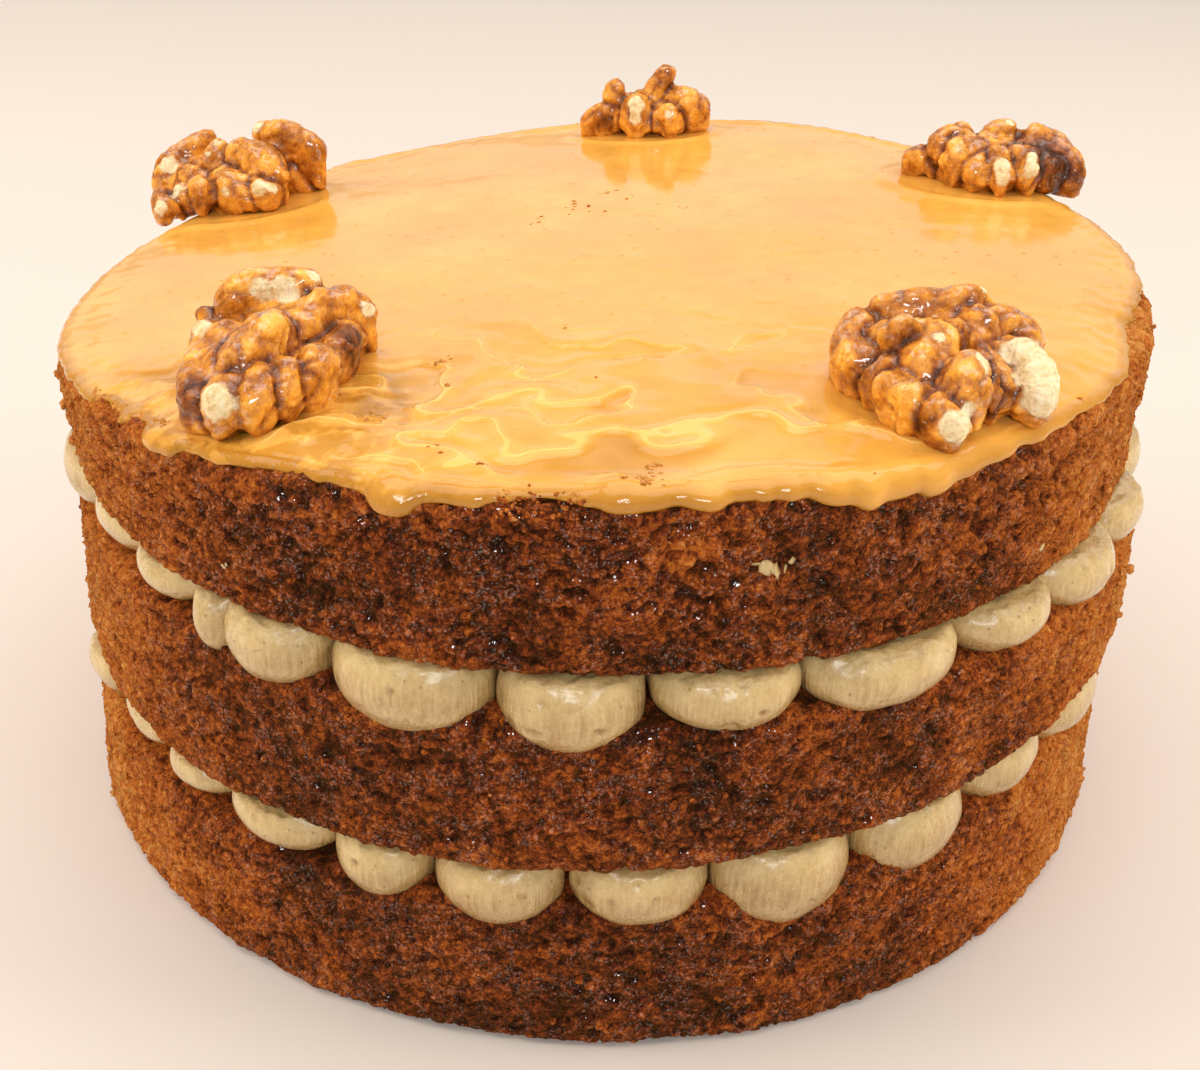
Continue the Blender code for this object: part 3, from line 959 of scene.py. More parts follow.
def icing_run(turn, bearing):
    """How far the icing goes past the start of the rim's turn, at each place round it."""
    run = 0.0012 + 0.0004 * np.sin(5 * turn) + 0.0003 * np.sin(11 * turn + 1.0)
    # a drip is blunt, so it keeps its full length over most of its width
    run = run + swellings(bearing, ICING_RUNS) + swellings(bearing, DRIPS, bluntness=3)
    for start, end, depth in NOTCHES:
        inside = smooth_step(apart(bearing, start), 0, 0.7) \
            * (1 - smooth_step(apart(bearing, end), -2.5, 0))
        run = run - depth * inside
    ring = np.stack([np.cos(turn), np.sin(turn), np.zeros_like(turn)], axis=-1) * RIM_RADIUS
    return run + 0.00032 * layered_noise(ring, 0.0045, 80) + 0.00026 * noise(ring, 0.0024, 81)


def bead_fullness(turn, bearing):
    return 1 + 0.12 * np.sin(9 * turn + 0.6) * np.sin(4 * turn) \
        + swellings(bearing, BEAD_CHANGES)


def over_rim(turn, run, lift):
    """Points `run` past where the rim starts to turn, `lift` clear of the sponge."""
    flat_end = rim_of["sponge_top"].at(turn) - RIM_ROUND
    corner = 0.5 * math.pi * RIM_ROUND
    bend = np.clip(run, 0.0, corner) / RIM_ROUND
    radius = flat_end + np.minimum(run, 0.0) + (RIM_ROUND + lift) * np.sin(bend)
    x = MIDDLE[0] + radius * np.cos(turn)
    y = MIDDLE[1] + radius * np.sin(turn)
    drop = RIM_ROUND - (RIM_ROUND + lift) * np.cos(bend) + np.maximum(run - corner, 0.0)
    return np.stack([x, y, roof_of["sponge_top"].at(x, y) - drop], axis=-1)


print("the icing has", len(DRIPS), "drips and", len(NOTCHES), "notches")

# %% [markdown]
# While the icing sets, the knife's strokes leave long soft ridges. They are noise whose folds
# are sharpened to crests, stretched along the strokes. They are strong in front, where the
# icing was worked last, and faint at the back. At the left of the front crumbs have curdled
# it, and round each walnut it is pushed up a little.

# %% The icing's ripples
WALNUT_NODES = ["walnut_1", "walnut_2", "walnut_3", "walnut_4", "walnut_5"]
walnut_boxes = [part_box(name) for name in WALNUT_NODES]


def icing_ripples(points):
    """The ripples' height in metres, and the measures that the finish draws them with."""
    x, y = points[..., 0], points[..., 1]
    level = np.zeros_like(x)
    flat = np.stack([x, y, level], axis=-1)
    bend_x = 0.008 * noise(flat, 0.017, 90) + 0.0025 * noise(flat, 0.006, 91)
    bend_y = 0.007 * noise(flat, 0.015, 92) + 0.0025 * noise(flat, 0.006, 93)
    stroke = np.stack([(x + bend_x) / 1.9, y + bend_y, level], axis=-1)
    faint = np.stack([(x + bend_x) / 4, y + bend_y, level], axis=-1)
    line = noise(stroke, 0.0105, 94)
    crest = np.exp(-(line / 0.09) ** 2)
    trough = np.tanh(line / 0.25)
    swell = noise(stroke, 0.006, 95)
    pooled = smooth_step(noise(stroke, 0.017, 99), -0.05, 0.15)
    worked = smooth_step(-y, 0.026, 0.054) \
        * (1 - 0.75 * smooth_step(np.abs(x + 0.013), 0.040, 0.066)) \
        * (1 - 0.85 * np.exp(-(np.hypot(x - 0.027, y + 0.054) / 0.009) ** 4))
    curdled = smooth_step(-x, 0.014, 0.036) * smooth_step(-y, 0.036, 0.062)
    height = worked * (0.00034 * crest - 0.00030 * trough + 0.00030 * swell) \
        + 0.00005 * noise(faint, 0.007, 96) + 0.00040 * noise(flat, 0.03, 97) \
        + 0.00016 * curdled * noise(flat, 0.0034, 101)
    for low, high in walnut_boxes:
        middle = (low + high) / 2
        near = np.hypot((x - middle.x) / (middle.x - low.x), (y - middle.y) / (middle.y - low.y))
        height += 0.0004 * np.exp(-((near - 1.08) / 0.13) ** 2)
    return height, {"line": line, "worked": worked, "pooled": pooled, "curdled": curdled}


middle_height = icing_ripples(np.array([[0.0, 0.0, 0.0]]))[0][0]
print("in its middle the icing stands", round(middle_height * 1000, 2), "mm off its level")

# %% [markdown]
# The sheet is a wrapped grid too. A few rows are tucked under the icing's edge, then they go
# round the bead, and then in over the top to the middle, where the sheet meets the height of
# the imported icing. The ripples are laid on last, and fade where they reach the bead.

# %% Lay the icing
ICING_COLUMNS = 660
ICING_LIFT = 0.0018
CLEAR = 0.0001
BEAD_WIDTH = 0.00184
TUCKED = (0.006, 0.003, 0.0015, 0.0006)
BEAD_TURNS = np.linspace(0.0, math.pi / 2, 9)
SHEET_SPANS = np.concatenate([np.linspace(0.0003, 0.006, 12), np.linspace(0.0068, 0.084, 108)])


def plain_icing(turn):
    """The sheet without ripples, and how far inward of the bead's top each row lies."""
    bearing = np.degrees(turn) + 90
    end = icing_run(turn, bearing)
    full = bead_fullness(turn, bearing)
    rows = [over_rim(turn, end - back, CLEAR) for back in TUCKED]
    backs = BEAD_WIDTH * (1 - np.cos(BEAD_TURNS))
    for back, angle in zip(backs, BEAD_TURNS):
        lift = CLEAR + (ICING_LIFT - CLEAR) * math.sin(angle) * full
        rows.append(over_rim(turn, end - back, lift))
    crown = icing_face.at(*MIDDLE) - roof_of["sponge_top"].at(*MIDDLE)
    flat_end = rim_of["sponge_top"].at(turn) - RIM_ROUND
    for span in SHEET_SPANS:
        # the last rows end in a small circle, so that they do not pass the middle
        run = np.maximum(end - BEAD_WIDTH - span, -flat_end + 0.002 + 0.00001 * (RIM_RADIUS - span))
        share = -np.minimum(run, 0) / RIM_RADIUS
        lift = ICING_LIFT + (crown - ICING_LIFT) * np.clip(1 - (1 - share) ** 2, 0, 1)
        swell = 0.00025 * math.exp(-(span / 0.002) ** 2) \
            + (full - 1) * ICING_LIFT * math.exp(-(span / 0.0035) ** 2)
        rows.append(over_rim(turn, run, lift + swell))
    tucked = np.full(len(TUCKED), -BEAD_WIDTH)
    return np.array(rows), np.concatenate([tucked, backs - BEAD_WIDTH, SHEET_SPANS])[:, None]


def make_icing():
    grid, inward = plain_icing(np.linspace(0, 2 * math.pi, ICING_COLUMNS, endpoint=False))
    height, measures = icing_ripples(grid)
    strength = np.where(inward > 0, smooth_step(inward, 0.0, 0.005), 0.15)
    strength[:len(TUCKED) + 1] = 0.0
    grid[..., 2] += height * strength
    near_edge = 1 - smooth_step(inward, 0.001, 0.010)
    near_edge[:len(TUCKED)] = 0.0
    grid += outward(grid) * (0.00013 * noise(grid, 0.003, 98) * near_edge)[..., None]
    measures["worked"] *= smooth_step(inward, 0.001, 0.004)
    piece = grid_piece("coffee_icing_sheet", grid,
                       inward=np.repeat(inward * 1000, ICING_COLUMNS, axis=1), **measures)
    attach(piece, "root")
    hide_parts("coffee_glaze")
    return piece


icing = make_icing()

# %% [markdown]
# Set icing is glossy, so low roughness does most of the work, and the lights draw the ripples.
# Its colour is a milky coffee that is painted lighter on the thin ridges, where two strokes
# met, and in a band round them, as painted highlight; it is darker in the pools beside them,
# and painted shade darkens the thick bead, whose face looks down and away from the light.
# Where crumbs have curdled it, it is patchy. A few pimples of air break the gloss.

# %% The icing's finish
def make_icing_finish():
    finish = Finish("coffee_glace_icing", Specular_IOR_Level=0.5, Subsurface_Weight=0.08,
                    Subsurface_Scale=0.004, Subsurface_Radius=(1.0, 0.6, 0.25))
    cloud = finish.noise(0.02, 3)
    fine = finish.noise(0.004, 3)
    line = finish.measure("line")
    worked = finish.measure("worked")
    # painted highlight: the thin ridges, and a wider band round them (glow), are painted lighter, as
    # light catches them
    ridge = finish.between(line * line, 0.0022, 0.0) * worked
    glow = finish.between(line * line, 0.030, 0.0) * worked
    pool = finish.between(line, 0.03, 0.12) * worked * finish.measure("pooled")
    # painted shade: edge makes the thick bead darker, as the shade on its face, which looks down and
    # away from the light
    edge = finish.between(finish.measure("inward"), 0.8, -1.6)
    curdled = finish.measure("curdled")
    patchy = (finish.between(finish.noise(0.0050, 3, 0.6, distortion=0.5), 0.44, 0.60)
              - 0.75) * curdled
    shade = 0.5 + (cloud - 0.5) * 0.5 + (fine - 0.5) * 0.3 \
        + ridge * 0.28 + glow * 0.12 - pool * 0.22 - edge * 0.42 + patchy * 0.42
    colour = finish.ramp(shade, (
        (0.0, (0.48, 0.205, 0.021)),
        (0.5, (0.80, 0.384, 0.061)),
        (0.9, (0.92, 0.55, 0.13)),
    ))
    pimples = finish.between(finish.cells(0.0035), 0.16, 0.04)
    grit = finish.noise(0.0011, 2) * edge
    lumps = finish.noise(0.0022, 3) * curdled
    relief = finish.noise(0.0035, 2) * 0.3 + pimples + grit * 1.6 + ridge * 1.3 + lumps * 2.4
    finish.set(Base_Color=colour, Roughness=0.08 + fine * 0.08,
               Normal=finish.bump(relief, 0.00007))
    return finish


icing_finish = make_icing_finish()
icing_finish.cover(icing)

# %% [markdown]
# ## Walnut halves
# A walnut half is a crumpled sheet of kernel under a thin amber skin. Its folds run and turn
# like fingers, dark lines mark where they meet, and broken places show the pale meat. Real
# folds are hard to get from noise, so each half is laid out as a few fat folds: a line of
# balls that grows and shrinks along its way. A voxel remesh welds them to one body. Lengths
# in the tables are millimetres from the middle of the nut on the icing: right, back and up,
# then the fold's radius. The last fold of each half is its hidden core.

# %% How each half is folded
KERNELS = {
    "walnut_1": {
        "folds": (
            ((-7.4, -14.5, 3.5, 2.8), (-8.8, -8, 4.5, 3), (-8.7, -3, 5.5, 2.8), (-6.5, 2, 7.5, 2.6)),
            ((-3.4, -16.5, 4.4, 3.3), (-3, -13.5, 5.5, 3)),
            ((0.6, -16, 4.5, 3.3), (1, -12.5, 5.5, 3)),
            ((-2.4, -11, 8, 2.7), (-1, -8, 9.3, 3), (0.5, -4.5, 10, 3.2), (0.8, -1, 9.5, 2.6)),
            ((3.6, -13, 4.2, 2.7), (4.2, -10.5, 6, 2.7)),
            ((6.8, -8.8, 5, 3.3), (7.5, -6, 5.5, 3.2)),
            ((8.8, 0.5, 4.5, 3), (9.4, 4.5, 4.5, 3)),
            ((4.5, 3.5, 8, 2.8), (6, 7, 9, 3), (8.6, 9.4, 8.4, 3), (11, 10.5, 6.5, 2.7)),
            ((-8.2, 9, 9.5, 2.4), (-5.5, 10, 11, 2.7), (-1.5, 10, 11.4, 2.8), (3.5, 11, 11, 2.6)),
            ((-11.2, 9.5, 7.6, 2),),
            ((-10.4, 5, 6.5, 2.5), (-10, 0.5, 4.6, 2.3)),
            ((-4, -6, 3.5, 6), (0, 2, 4, 6.5), (3, 9, 4, 6.5)),
        ),
        "broken": (
            (-4.0, -19.3, 6.0, 3.1), (-2.6, 7.6, 11.6, 1.7), (0.6, 7.7, 11.6, 1.9),
            (-10.6, 3.4, 8.2, 1.9), (5.2, 10.4, 13.2, 1.8), (12.6, 8.6, 7.4, 1.5),
        ),
        "stained": ((-9.0, -14.0, 4.0, 4.0), (10.5, 1.5, 4.0, 3.6)),
    },
    "walnut_2": {
        "folds": (
            ((-10.5, 8.5, 7, 2.8), (-12.6, 5, 5.5, 3), (-11.8, 0.5, 4.5, 3.2)),
            ((-8.4, -1.5, 9.4, 1.8), (-6.8, -0.8, 10, 2.1), (-5.2, 0, 9.6, 1.8)),
            ((-7.5, 9.6, 8.5, 2.7), (-2.5, 9, 9.6, 2.7), (1.3, 9.5, 9.8, 2.6), (4.8, 10.5, 10, 2.9)),
            ((4.2, 6, 9.6, 2.1), (5.8, 5, 9, 2.2)),
            ((-4.5, -4.5, 6.8, 3), (-1.4, 1, 7.6, 3)),
            ((-8, 4, 6.6, 2.8), (-4, 4.5, 7.4, 2.4)),
            ((1.4, -8, 8, 2.8), (0.4, -10, 7.4, 3.1), (0.6, -12.6, 6, 3.4)),
            ((-1.8, -16, 3.5, 2.8), (-3.6, -14.4, 4.5, 2.8)),
            ((-6.4, -12.5, 4.8, 3), (-8.6, -7.8, 4.8, 2.7)),
            ((-9.8, -3.8, 3.8, 2.5), (-7, -3.5, 5, 2.5)),
            ((8, 8, 8, 3), (10.5, 8.4, 7, 3), (12.2, 6.2, 6, 2.9)),
            ((9.9, 1.6, 6.1, 3), (11.4, -3, 5, 3.4), (11, -7.4, 3.8, 3.1)),
            ((6.6, -1.5, 5, 2.2), (6.4, -6, 4, 2.1)),
            ((1.8, 3.6, 9.6, 0.8), (3.3, -1, 9, 0.8), (4.4, -5.4, 7.6, 0.8), (5, -9, 4.6, 0.8)),
            ((-4, -3, 3, 6.5), (0, 4, 3.5, 6.5), (8, 3, 3, 5)),
        ),
        "broken": (
            (-1.4, -18.6, 4.0, 2.6), (0.4, -17.4, 4.8, 2.2), (3.4, -9.6, 9.8, 2.0),
            (9.6, -1.0, 8.4, 3.0), (11.8, -5.4, 6.6, 4.0), (11.4, -9.6, 4.6, 3.4),
            (12.8, 1.2, 7.0, 2.8), (0.6, 4.6, 11.2, 0.9), (-1.8, -2.4, 10.0, 1.1),
            (6.4, 10.6, 12.2, 1.2),
        ),
        "stained": (
            (3.0, 0.6, 9.8, 1.7), (4.0, -3.0, 9.0, 1.9), (4.8, -6.6, 6.6, 2.2),
            (5.6, -9.4, 4.0, 2.6), (-4.6, -15.0, 3.4, 2.4), (-2.0, -9.0, 8.0, 2.0),
        ),
    },
    "walnut_3": {
        "folds": (
            ((-15.4, 3, 6, 2.6), (-14.4, 6, 8.4, 2.8), (-11, 8.6, 10, 2.8), (-7.5, 10.5, 11.6, 2.2)),
            ((0.5, 3, 9.4, 3.4), (5, 0, 8.4, 3.7), (8.4, -3.5, 6, 3)),
            ((-5.2, 2, 9.6, 2.1), (-4.2, 6, 10.6, 1.9)),
            ((-12.6, -8.4, 3, 2.6), (-13.8, -4, 4.4, 2.5)),
            ((-9.6, -5, 5, 2.5),),
            ((-6, -5.5, 5.4, 3),),
            ((-8.6, -1.5, 7.4, 1.8),),
            ((-1.6, -3, 5, 3.6), (2, -6, 3.4, 2.6)),
            ((5.6, -6, 4.2, 2.5), (8.2, -6.6, 4, 2.1)),
            ((3, 9.6, 12, 2.2), (8, 7.6, 11.4, 2.9), (13.4, 5.6, 9.4, 2.4), (15.4, 5, 8.4, 1.8)),
            ((7, 9, 6.4, 3),),
            ((-9, 3, 4, 5.5), (-2, 4, 4, 6), (4, 3, 4, 5)),
        ),
        "broken": (
            (-14.0, 3.0, 8.8, 1.8), (-5.8, 0.0, 10.8, 1.1), (-4.4, 4.2, 12.2, 1.1),
            (-10.4, -7.2, 6.2, 1.6), (-12.9, -10.8, 4.0, 2.0), (5.6, -8.4, 5.0, 1.7),
            (8.4, -8.6, 4.8, 1.2), (2.2, 8.2, 13.6, 1.6), (-0.6, -6.6, 4.4, 1.0),
        ),
        "stained": ((-6.0, -6.0, 4.0, 2.6),),
    },
    "walnut_4": {
        "folds": (
            ((-12.4, 0, 3, 1.9), (-9.6, 0, 4.4, 2.5), (-7, 1, 5, 2.7)),
            ((-7.0, 1, 7.6, 2.5), (-6.2, 1.5, 9.6, 2.4)),
            ((-1.8, -2, 6.4, 2.8), (-2, -3.6, 3.8, 2.5)),
            ((1.6, 1.5, 8.4, 2.6), (3.4, 2, 10.6, 2.7), (4.4, 2, 11.9, 2.4)),
            ((8, 0, 5.8, 4.2), (11.4, 0, 4.6, 3.2)),
            ((5, -3.6, 4.2, 3.2),),
            ((-4, 2.5, 4, 4), (2, 2.5, 4.5, 4.6)),
        ),
        "broken": (
            (-2.0, -4.8, 7.4, 2.2), (-2.2, -6.2, 4.6, 1.8), (4.6, -6.6, 5.2, 1.2),
        ),
        "stained": ((-8.0, 0.0, 3.0, 2.4),),
    },
    "walnut_5": {
        "folds": (
            ((-15, 3, 3.4, 2.1), (-12.6, 3.4, 4.2, 2.4)),
            ((-10, 2, 6.6, 2.8), (-5.6, 3.4, 8.4, 2.8)),
            ((-6.6, -1, 6.6, 3), (-7.6, -3.6, 4.4, 2.7)),
            ((-4, -6, 3.8, 2.7),),
            ((0, 3, 8.6, 2.7), (3.4, 4, 9.2, 2.3)),
            ((0.4, -6.4, 5, 2.3), (0.5, -8, 3.6, 2.1)),
            ((6, -5, 6.4, 1.9), (5.8, -7, 4.6, 2)),
            ((8, 2, 8.6, 3), (12, 0.5, 7.2, 3), (13.5, -3.6, 5.4, 3), (14.6, -6, 3.5, 2.2)),
            ((10.4, -5.6, 5, 2.6),),
            ((-4, 0, 3.6, 5.5), (3, 0, 4, 5), (9, -1, 4, 5)),
        ),
        "broken": (
            (0.3, -8.7, 6.2, 2.2), (0.4, -10.2, 4.2, 2.0), (6.0, -7.0, 7.6, 1.7),
            (5.8, -8.9, 5.4, 2.0), (-7.4, -4.4, 8.2, 1.0), (3.4, 3.0, 11.6, 1.2),
        ),
        "stained": ((9.6, -4.0, 4.6, 5.4), (14.0, -4.4, 4.0, 4.0), (6.0, 0.0, 8.0, 2.6)),
    },
}

for node, kernel in KERNELS.items():
    print(node, "has", len(kernel["folds"]), "folds and", len(kernel["broken"]), "broken places")

# %% [markdown]
# Each ball of a fold is a small faceted sphere. Smaller balls go under the folds, down to the
# icing, and between neighbours, so that the half is one solid body with grooves in it and not
# a bundle of fingers. The remesh does not mind that the balls overlap.

# %% Weld the folds to one body
VOXEL = 0.00046


def unit_ball(fineness):
    ball = bmesh.new()
    bmesh.ops.create_icosphere(ball, subdivisions=fineness, radius=1.0)
    points = np.array([vertex.co for vertex in ball.verts])
    faces = np.array([[vertex.index for vertex in face.verts] for face in ball.faces])
    ball.free()
    return points, faces


BALL_POINTS, BALL_FACES = unit_ball(2)


def fold_beads(fold):
    """Balls along a fold, close enough together to make a smooth finger."""
    fold = np.array(fold, float)
    beads = [fold[0]]
    for start, end in zip(fold[:-1], fold[1:]):
        length = np.linalg.norm(end[:3] - start[:3])
        count = max(1, math.ceil(length / (0.3 * min(start[3], end[3]))))
        for step in range(1, count + 1):
            beads.append(start + (end - start) * step / count)
    return np.array(beads)


def solid_beads(folds):
    """The balls of every fold, then those under them and those between neighbours."""
    lines = [fold_beads(fold) for fold in folds]
    beads = list(np.concatenate(lines))
    for x, y, z, radius in np.concatenate([line[::2] for line in lines]):
        for drop in np.arange(0.45 * radius, z - 0.4, 0.45 * radius):
            beads.append((x, y, z - drop, radius * (0.95 - 0.16 * drop / z)))
    for number, line in enumerate(lines):
        for other in lines[number + 1:]:
            gap = np.linalg.norm(line[:, None, :3] - other[None, :, :3], axis=-1)
            touching = gap < 1.30 * (line[:, None, 3] + other[None, :, 3])
            for i, j in zip(*np.where(touching)):
                if (i + j) % 2 == 0:
                    x, y, z, radius = (line[i] + other[j]) / 2
                    beads.append((x, y, z - 0.62 * radius, 0.86 * radius))
    return np.array([tuple(bead) for bead in beads])


def place_on_icing(points_mm, middle):
    """From a nut's own millimetres to places on the cake."""
    x = middle[0] + points_mm[..., 0] * MM
    y = middle[1] + points_mm[..., 1] * MM
    return np.stack([x, y, icing_face.at(x, y) + points_mm[..., 2] * MM], axis=-1)


def weld(name, centres, radii):
    """One closed mesh round all the balls."""
    balls = Gathered()
    for centre, radius in zip(centres, radii):
        balls.add(centre + BALL_POINTS * radius, NO_QUADS, BALL_FACES)
    piece = balls.piece(name)
    remesh = piece.modifiers.new("one_body", "REMESH")
    remesh.mode = "VOXEL"
    remesh.voxel_size = VOXEL
    soften = piece.modifiers.new("soften", "SMOOTH")
    soften.factor = 0.5
    soften.iterations = 3
    graph = bpy.context.evaluated_depsgraph_get()
    body = bpy.data.meshes.new_from_object(piece.evaluated_get(graph))
    piece.modifiers.clear()
    piece.data = body
    return piece


print("a ball has", len(BALL_FACES), "faces")

# %% [markdown]
# The welded body is then eased onto the softly blended surface of all its balls, which rounds
# the joins as growth does. After that it gets its skin: wrinkles, veins, a groove where two
# folds meet, and a broken value at the pale places, which are also pared a little flatter.

# %% Wrinkle the kernels
BLEND = 0.00032
AT_A_TIME = 1500


def ease_onto(points, centres, radii):
    """Move points to where the blended surface of the balls is, and say which way it faces."""
    facing = np.zeros_like(points)
    for start in range(0, len(points), AT_A_TIME):
        part = points[start:start + AT_A_TIME]
        for turn in range(3):
            away = part[:, None, :] - centres[None]
            far = np.linalg.norm(away, axis=-1)
            depth = np.exp(-(far - radii) / BLEND)
            total = depth.sum(axis=1)
            height = -BLEND * np.log(total) + 1.7 * BLEND
            slope = ((depth / far / total[:, None])[..., None] * away).sum(axis=1)
            slope /= np.maximum(np.linalg.norm(slope, axis=1, keepdims=True), 1e-9)
            part = part - slope * np.clip(height, -0.0006, 0.0006)[:, None]
        points[start:start + AT_A_TIME] = part
        facing[start:start + AT_A_TIME] = slope
    return points, facing


def crease_depth(points, folds, middle):
    """1 where a point is as near to one fold as to the next, and 0 well inside a fold."""
    columns = []
    for fold in folds:
        beads = fold_beads(fold)
        centres = place_on_icing(beads[:, :3], middle)
        gaps = np.linalg.norm(points[:, None, :] - centres[None], axis=-1) - beads[:, 3] * MM
        columns.append(gaps.min(axis=1))
    nearest = np.sort(np.stack(columns, axis=-1), axis=1)
    return np.exp(-((nearest[:, 1] - nearest[:, 0]) / 0.0006) ** 2)


def patches_of(spots, points, middle, softness):
    """1 inside the listed balls and 0 outside, with a ragged border."""
    inside = np.zeros(len(points))
    ragged = 0.0004 * noise(points, 0.0012, 110)
    for x, y, z, radius in spots:
        centre = place_on_icing(np.array([x, y, z]), middle)
        gap = (np.linalg.norm(points - centre, axis=1) + ragged) / (radius * MM)
        inside = np.maximum(inside, 1 - smooth_step(gap, 1 - softness, 1 + softness))
    return inside


def make_kernel(node):
    kernel = KERNELS[node]
    low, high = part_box(node)
    middle = ((low.x + high.x) / 2, (low.y + high.y) / 2)
    beads = solid_beads(kernel["folds"])
    centres = place_on_icing(beads[:, :3], middle)
    radii = beads[:, 3] * MM
    piece = weld(f"{node}_half", centres, radii)
    mesh = piece.data
    points, facing = ease_onto(read_points(mesh).astype(float), centres, radii)
    crease = crease_depth(points, kernel["folds"][:-1], middle)
    broken = patches_of(kernel["broken"], points, middle, 0.06)
    stained = patches_of(kernel["stained"], points, middle, 0.30)
    bent = push(points, 0.004, 0.0012, 111)
    wrinkle = np.clip(1 - 2.2 * np.abs(noise(bent, 0.0048, 114)), 0, 1)
    vein = np.clip(1 - 2.6 * np.abs(noise(bent, 0.0019, 118)), 0, 1)
    height = 0.00026 * noise(points, 0.0046, 116) - 0.00045 * crease - 0.00030 * broken \
        - (0.00034 * wrinkle + 0.00016 * vein) * (1 - broken) \
        + 0.00016 * broken * layered_noise(points, 0.0012, 117)
    points += facing * height[:, None]
    floor = icing_face.at(points[:, 0], points[:, 1]) - 0.0006
    points[:, 2] = np.maximum(points[:, 2], floor)
    mesh.vertices.foreach_set("co", points.astype(np.float32).ravel())
    write_measures(mesh, {"crease": crease, "broken": broken, "wrinkle": wrinkle,
                          "vein": vein, "stained": stained})
    mesh.update()
    mesh.shade_smooth()
    print(node, "has", sum(len(face.vertices) - 2 for face in mesh.polygons), "triangles")
    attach(piece, "root")
    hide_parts(node)
    return piece


kernels = [make_kernel(node) for node in WALNUT_NODES]

# %% [markdown]
# The skin runs from amber on the folds to red-brown in the creases, with veins and stains; the
# creases, wrinkles and veins are darker partly in the skin itself and partly as painted shade.
# The meat under it is cream. Mixing the two by the broken value keeps the colour on the shape.
# Syrup has dried on the nuts in patches, so a very glossy clear coat comes and goes, and pale
# specks stick to it. Finer white specks are painted glints.

# %% The walnut's finish
def make_kernel_finish():
    finish = Finish("walnut_kernel", Specular_IOR_Level=0.3, Subsurface_Weight=0.05,
                    Subsurface_Scale=0.002, Subsurface_Radius=(1.0, 0.5, 0.2),
                    Coat_Roughness=0.07, Coat_IOR=1.85)
    crease = finish.measure("crease")
    broken = finish.measure("broken")
    stained = finish.measure("stained")
    patches = finish.noise(0.006, 3)
    mottle = finish.noise(0.0016, 3, 0.6, distortion=0.6)
    streaks = finish.noise(0.0007, 3, 0.6, finish.stretched((1.0, 0.35, 0.8)), distortion=1.0)
    # partly painted shade: creases, wrinkles and veins are painted darker, partly the skin's own
    # colour there and partly the shade in these grooves
    tone = 0.85 + (patches - 0.5) * 0.9 + (mottle - 0.5) * 0.4 + (streaks - 0.5) * 0.6 \
        - crease * 0.46 - finish.measure("wrinkle") * 0.34 - finish.measure("vein") * 0.16 \
        - stained * 0.36
    skin = finish.ramp(tone, (
        (0.0, (0.075, 0.017, 0.002)),
        (0.30, (0.28, 0.070, 0.006)),
        (0.55, (0.54, 0.180, 0.016)),
        (0.80, (0.84, 0.345, 0.033)),
        (1.0, (0.94, 0.53, 0.10)),
    ))
    meat = finish.ramp(finish.noise(0.0012, 4) * 0.7 + finish.noise(0.004, 2) * 0.3, (
        (0.36, (0.70, 0.48, 0.21)),
        (0.47, (0.90, 0.70, 0.39)),
        (0.60, (0.97, 0.82, 0.54)),
    ))
    specks = finish.between(finish.cells(0.0014), 0.20, 0.08) \
        * finish.between(finish.noise(0.006, 2), 0.50, 0.60) * 0.6
    # painted glints: fine white specks are painted into the colour, for the wet glints on the nuts
    painted_glints = finish.between(finish.cells(0.0008), 0.18, 0.06) \
        * finish.between(finish.noise(0.005, 2), 0.52, 0.60) * 0.7
    pale = broken.at_least(specks).at_least(painted_glints)
    glaze = finish.between(finish.noise(0.0014, 3), 0.46, 0.55) * (1.0 - broken) \
        * (1.0 - stained * 0.5) * (1.0 - crease * 0.7)
    relief = finish.noise(0.0009, 4, 0.6) * (1.0 + broken * 1.2) + specks * 0.8 + painted_glints * 0.5
    finish.set(Base_Color=finish.mix(pale, skin, meat), Coat_Weight=glaze,
               Roughness=0.26 + broken * 0.45 + (mottle - 0.5) * 0.35,
               Normal=finish.bump(relief, 0.00030))
    return finish


kernel_finish = make_kernel_finish()
kernel_finish.cover(*kernels)

# %% [markdown]
# ## Loose crumbs
# Cutting and icing leave crumbs: a few specks drowned in the icing, a line of them where the
# icing is thin, and torn bits that stand out from the sides. Painted specks would have no
# shadow, so each is a real lump: a small ball knocked out of shape, flattened against the
# surface and sunk into it a little. Rays find the surface that each one rests on.

# %% A lump, and where it rests
FINE_CRUMB = 0.00048
FINE_BALL = unit_ball(1)
chance = np.random.default_rng(11)


def add_lump(lumps, place, facing, radius, flatness, sunk, grain=0.3):
    turn = np.array(Matrix.Rotation(chance.uniform(0, 6.3), 3, facing))
    points, faces = FINE_BALL if radius < FINE_CRUMB else (BALL_POINTS, BALL_FACES)
    shape = points * (1 + 0.30 * chance.uniform(-1, 1, (len(points), 1)))
    shape = (shape * chance.uniform(0.7, 1.3, 3) * radius) @ turn.T
    outwards = np.array(facing)
    shape = shape - np.outer(shape @ outwards * (1 - flatness), outwards)
    centre = np.array(place) + outwards * radius * (flatness - 2 * sunk)
    lumps.add(shape + centre, NO_QUADS, faces, grain=np.full(len(shape), grain))


def surface_of(piece):
    """A tree that finds where rays meet a finished piece."""
    faces = [tuple(face.vertices) for face in piece.data.polygons]
    return BVHTree.FromPolygons(read_points(piece.data).tolist(), faces)


def drop_on_icing(lumps, x, y, radius):
    place, facing, face, far = icing_surface.ray_cast(Vector((x, y, 0.3)), Vector((0, 0, -1)))
    if place is not None:
        add_lump(lumps, place, facing, radius, 0.60, 0.42, chance.uniform(1.3, 2.2))


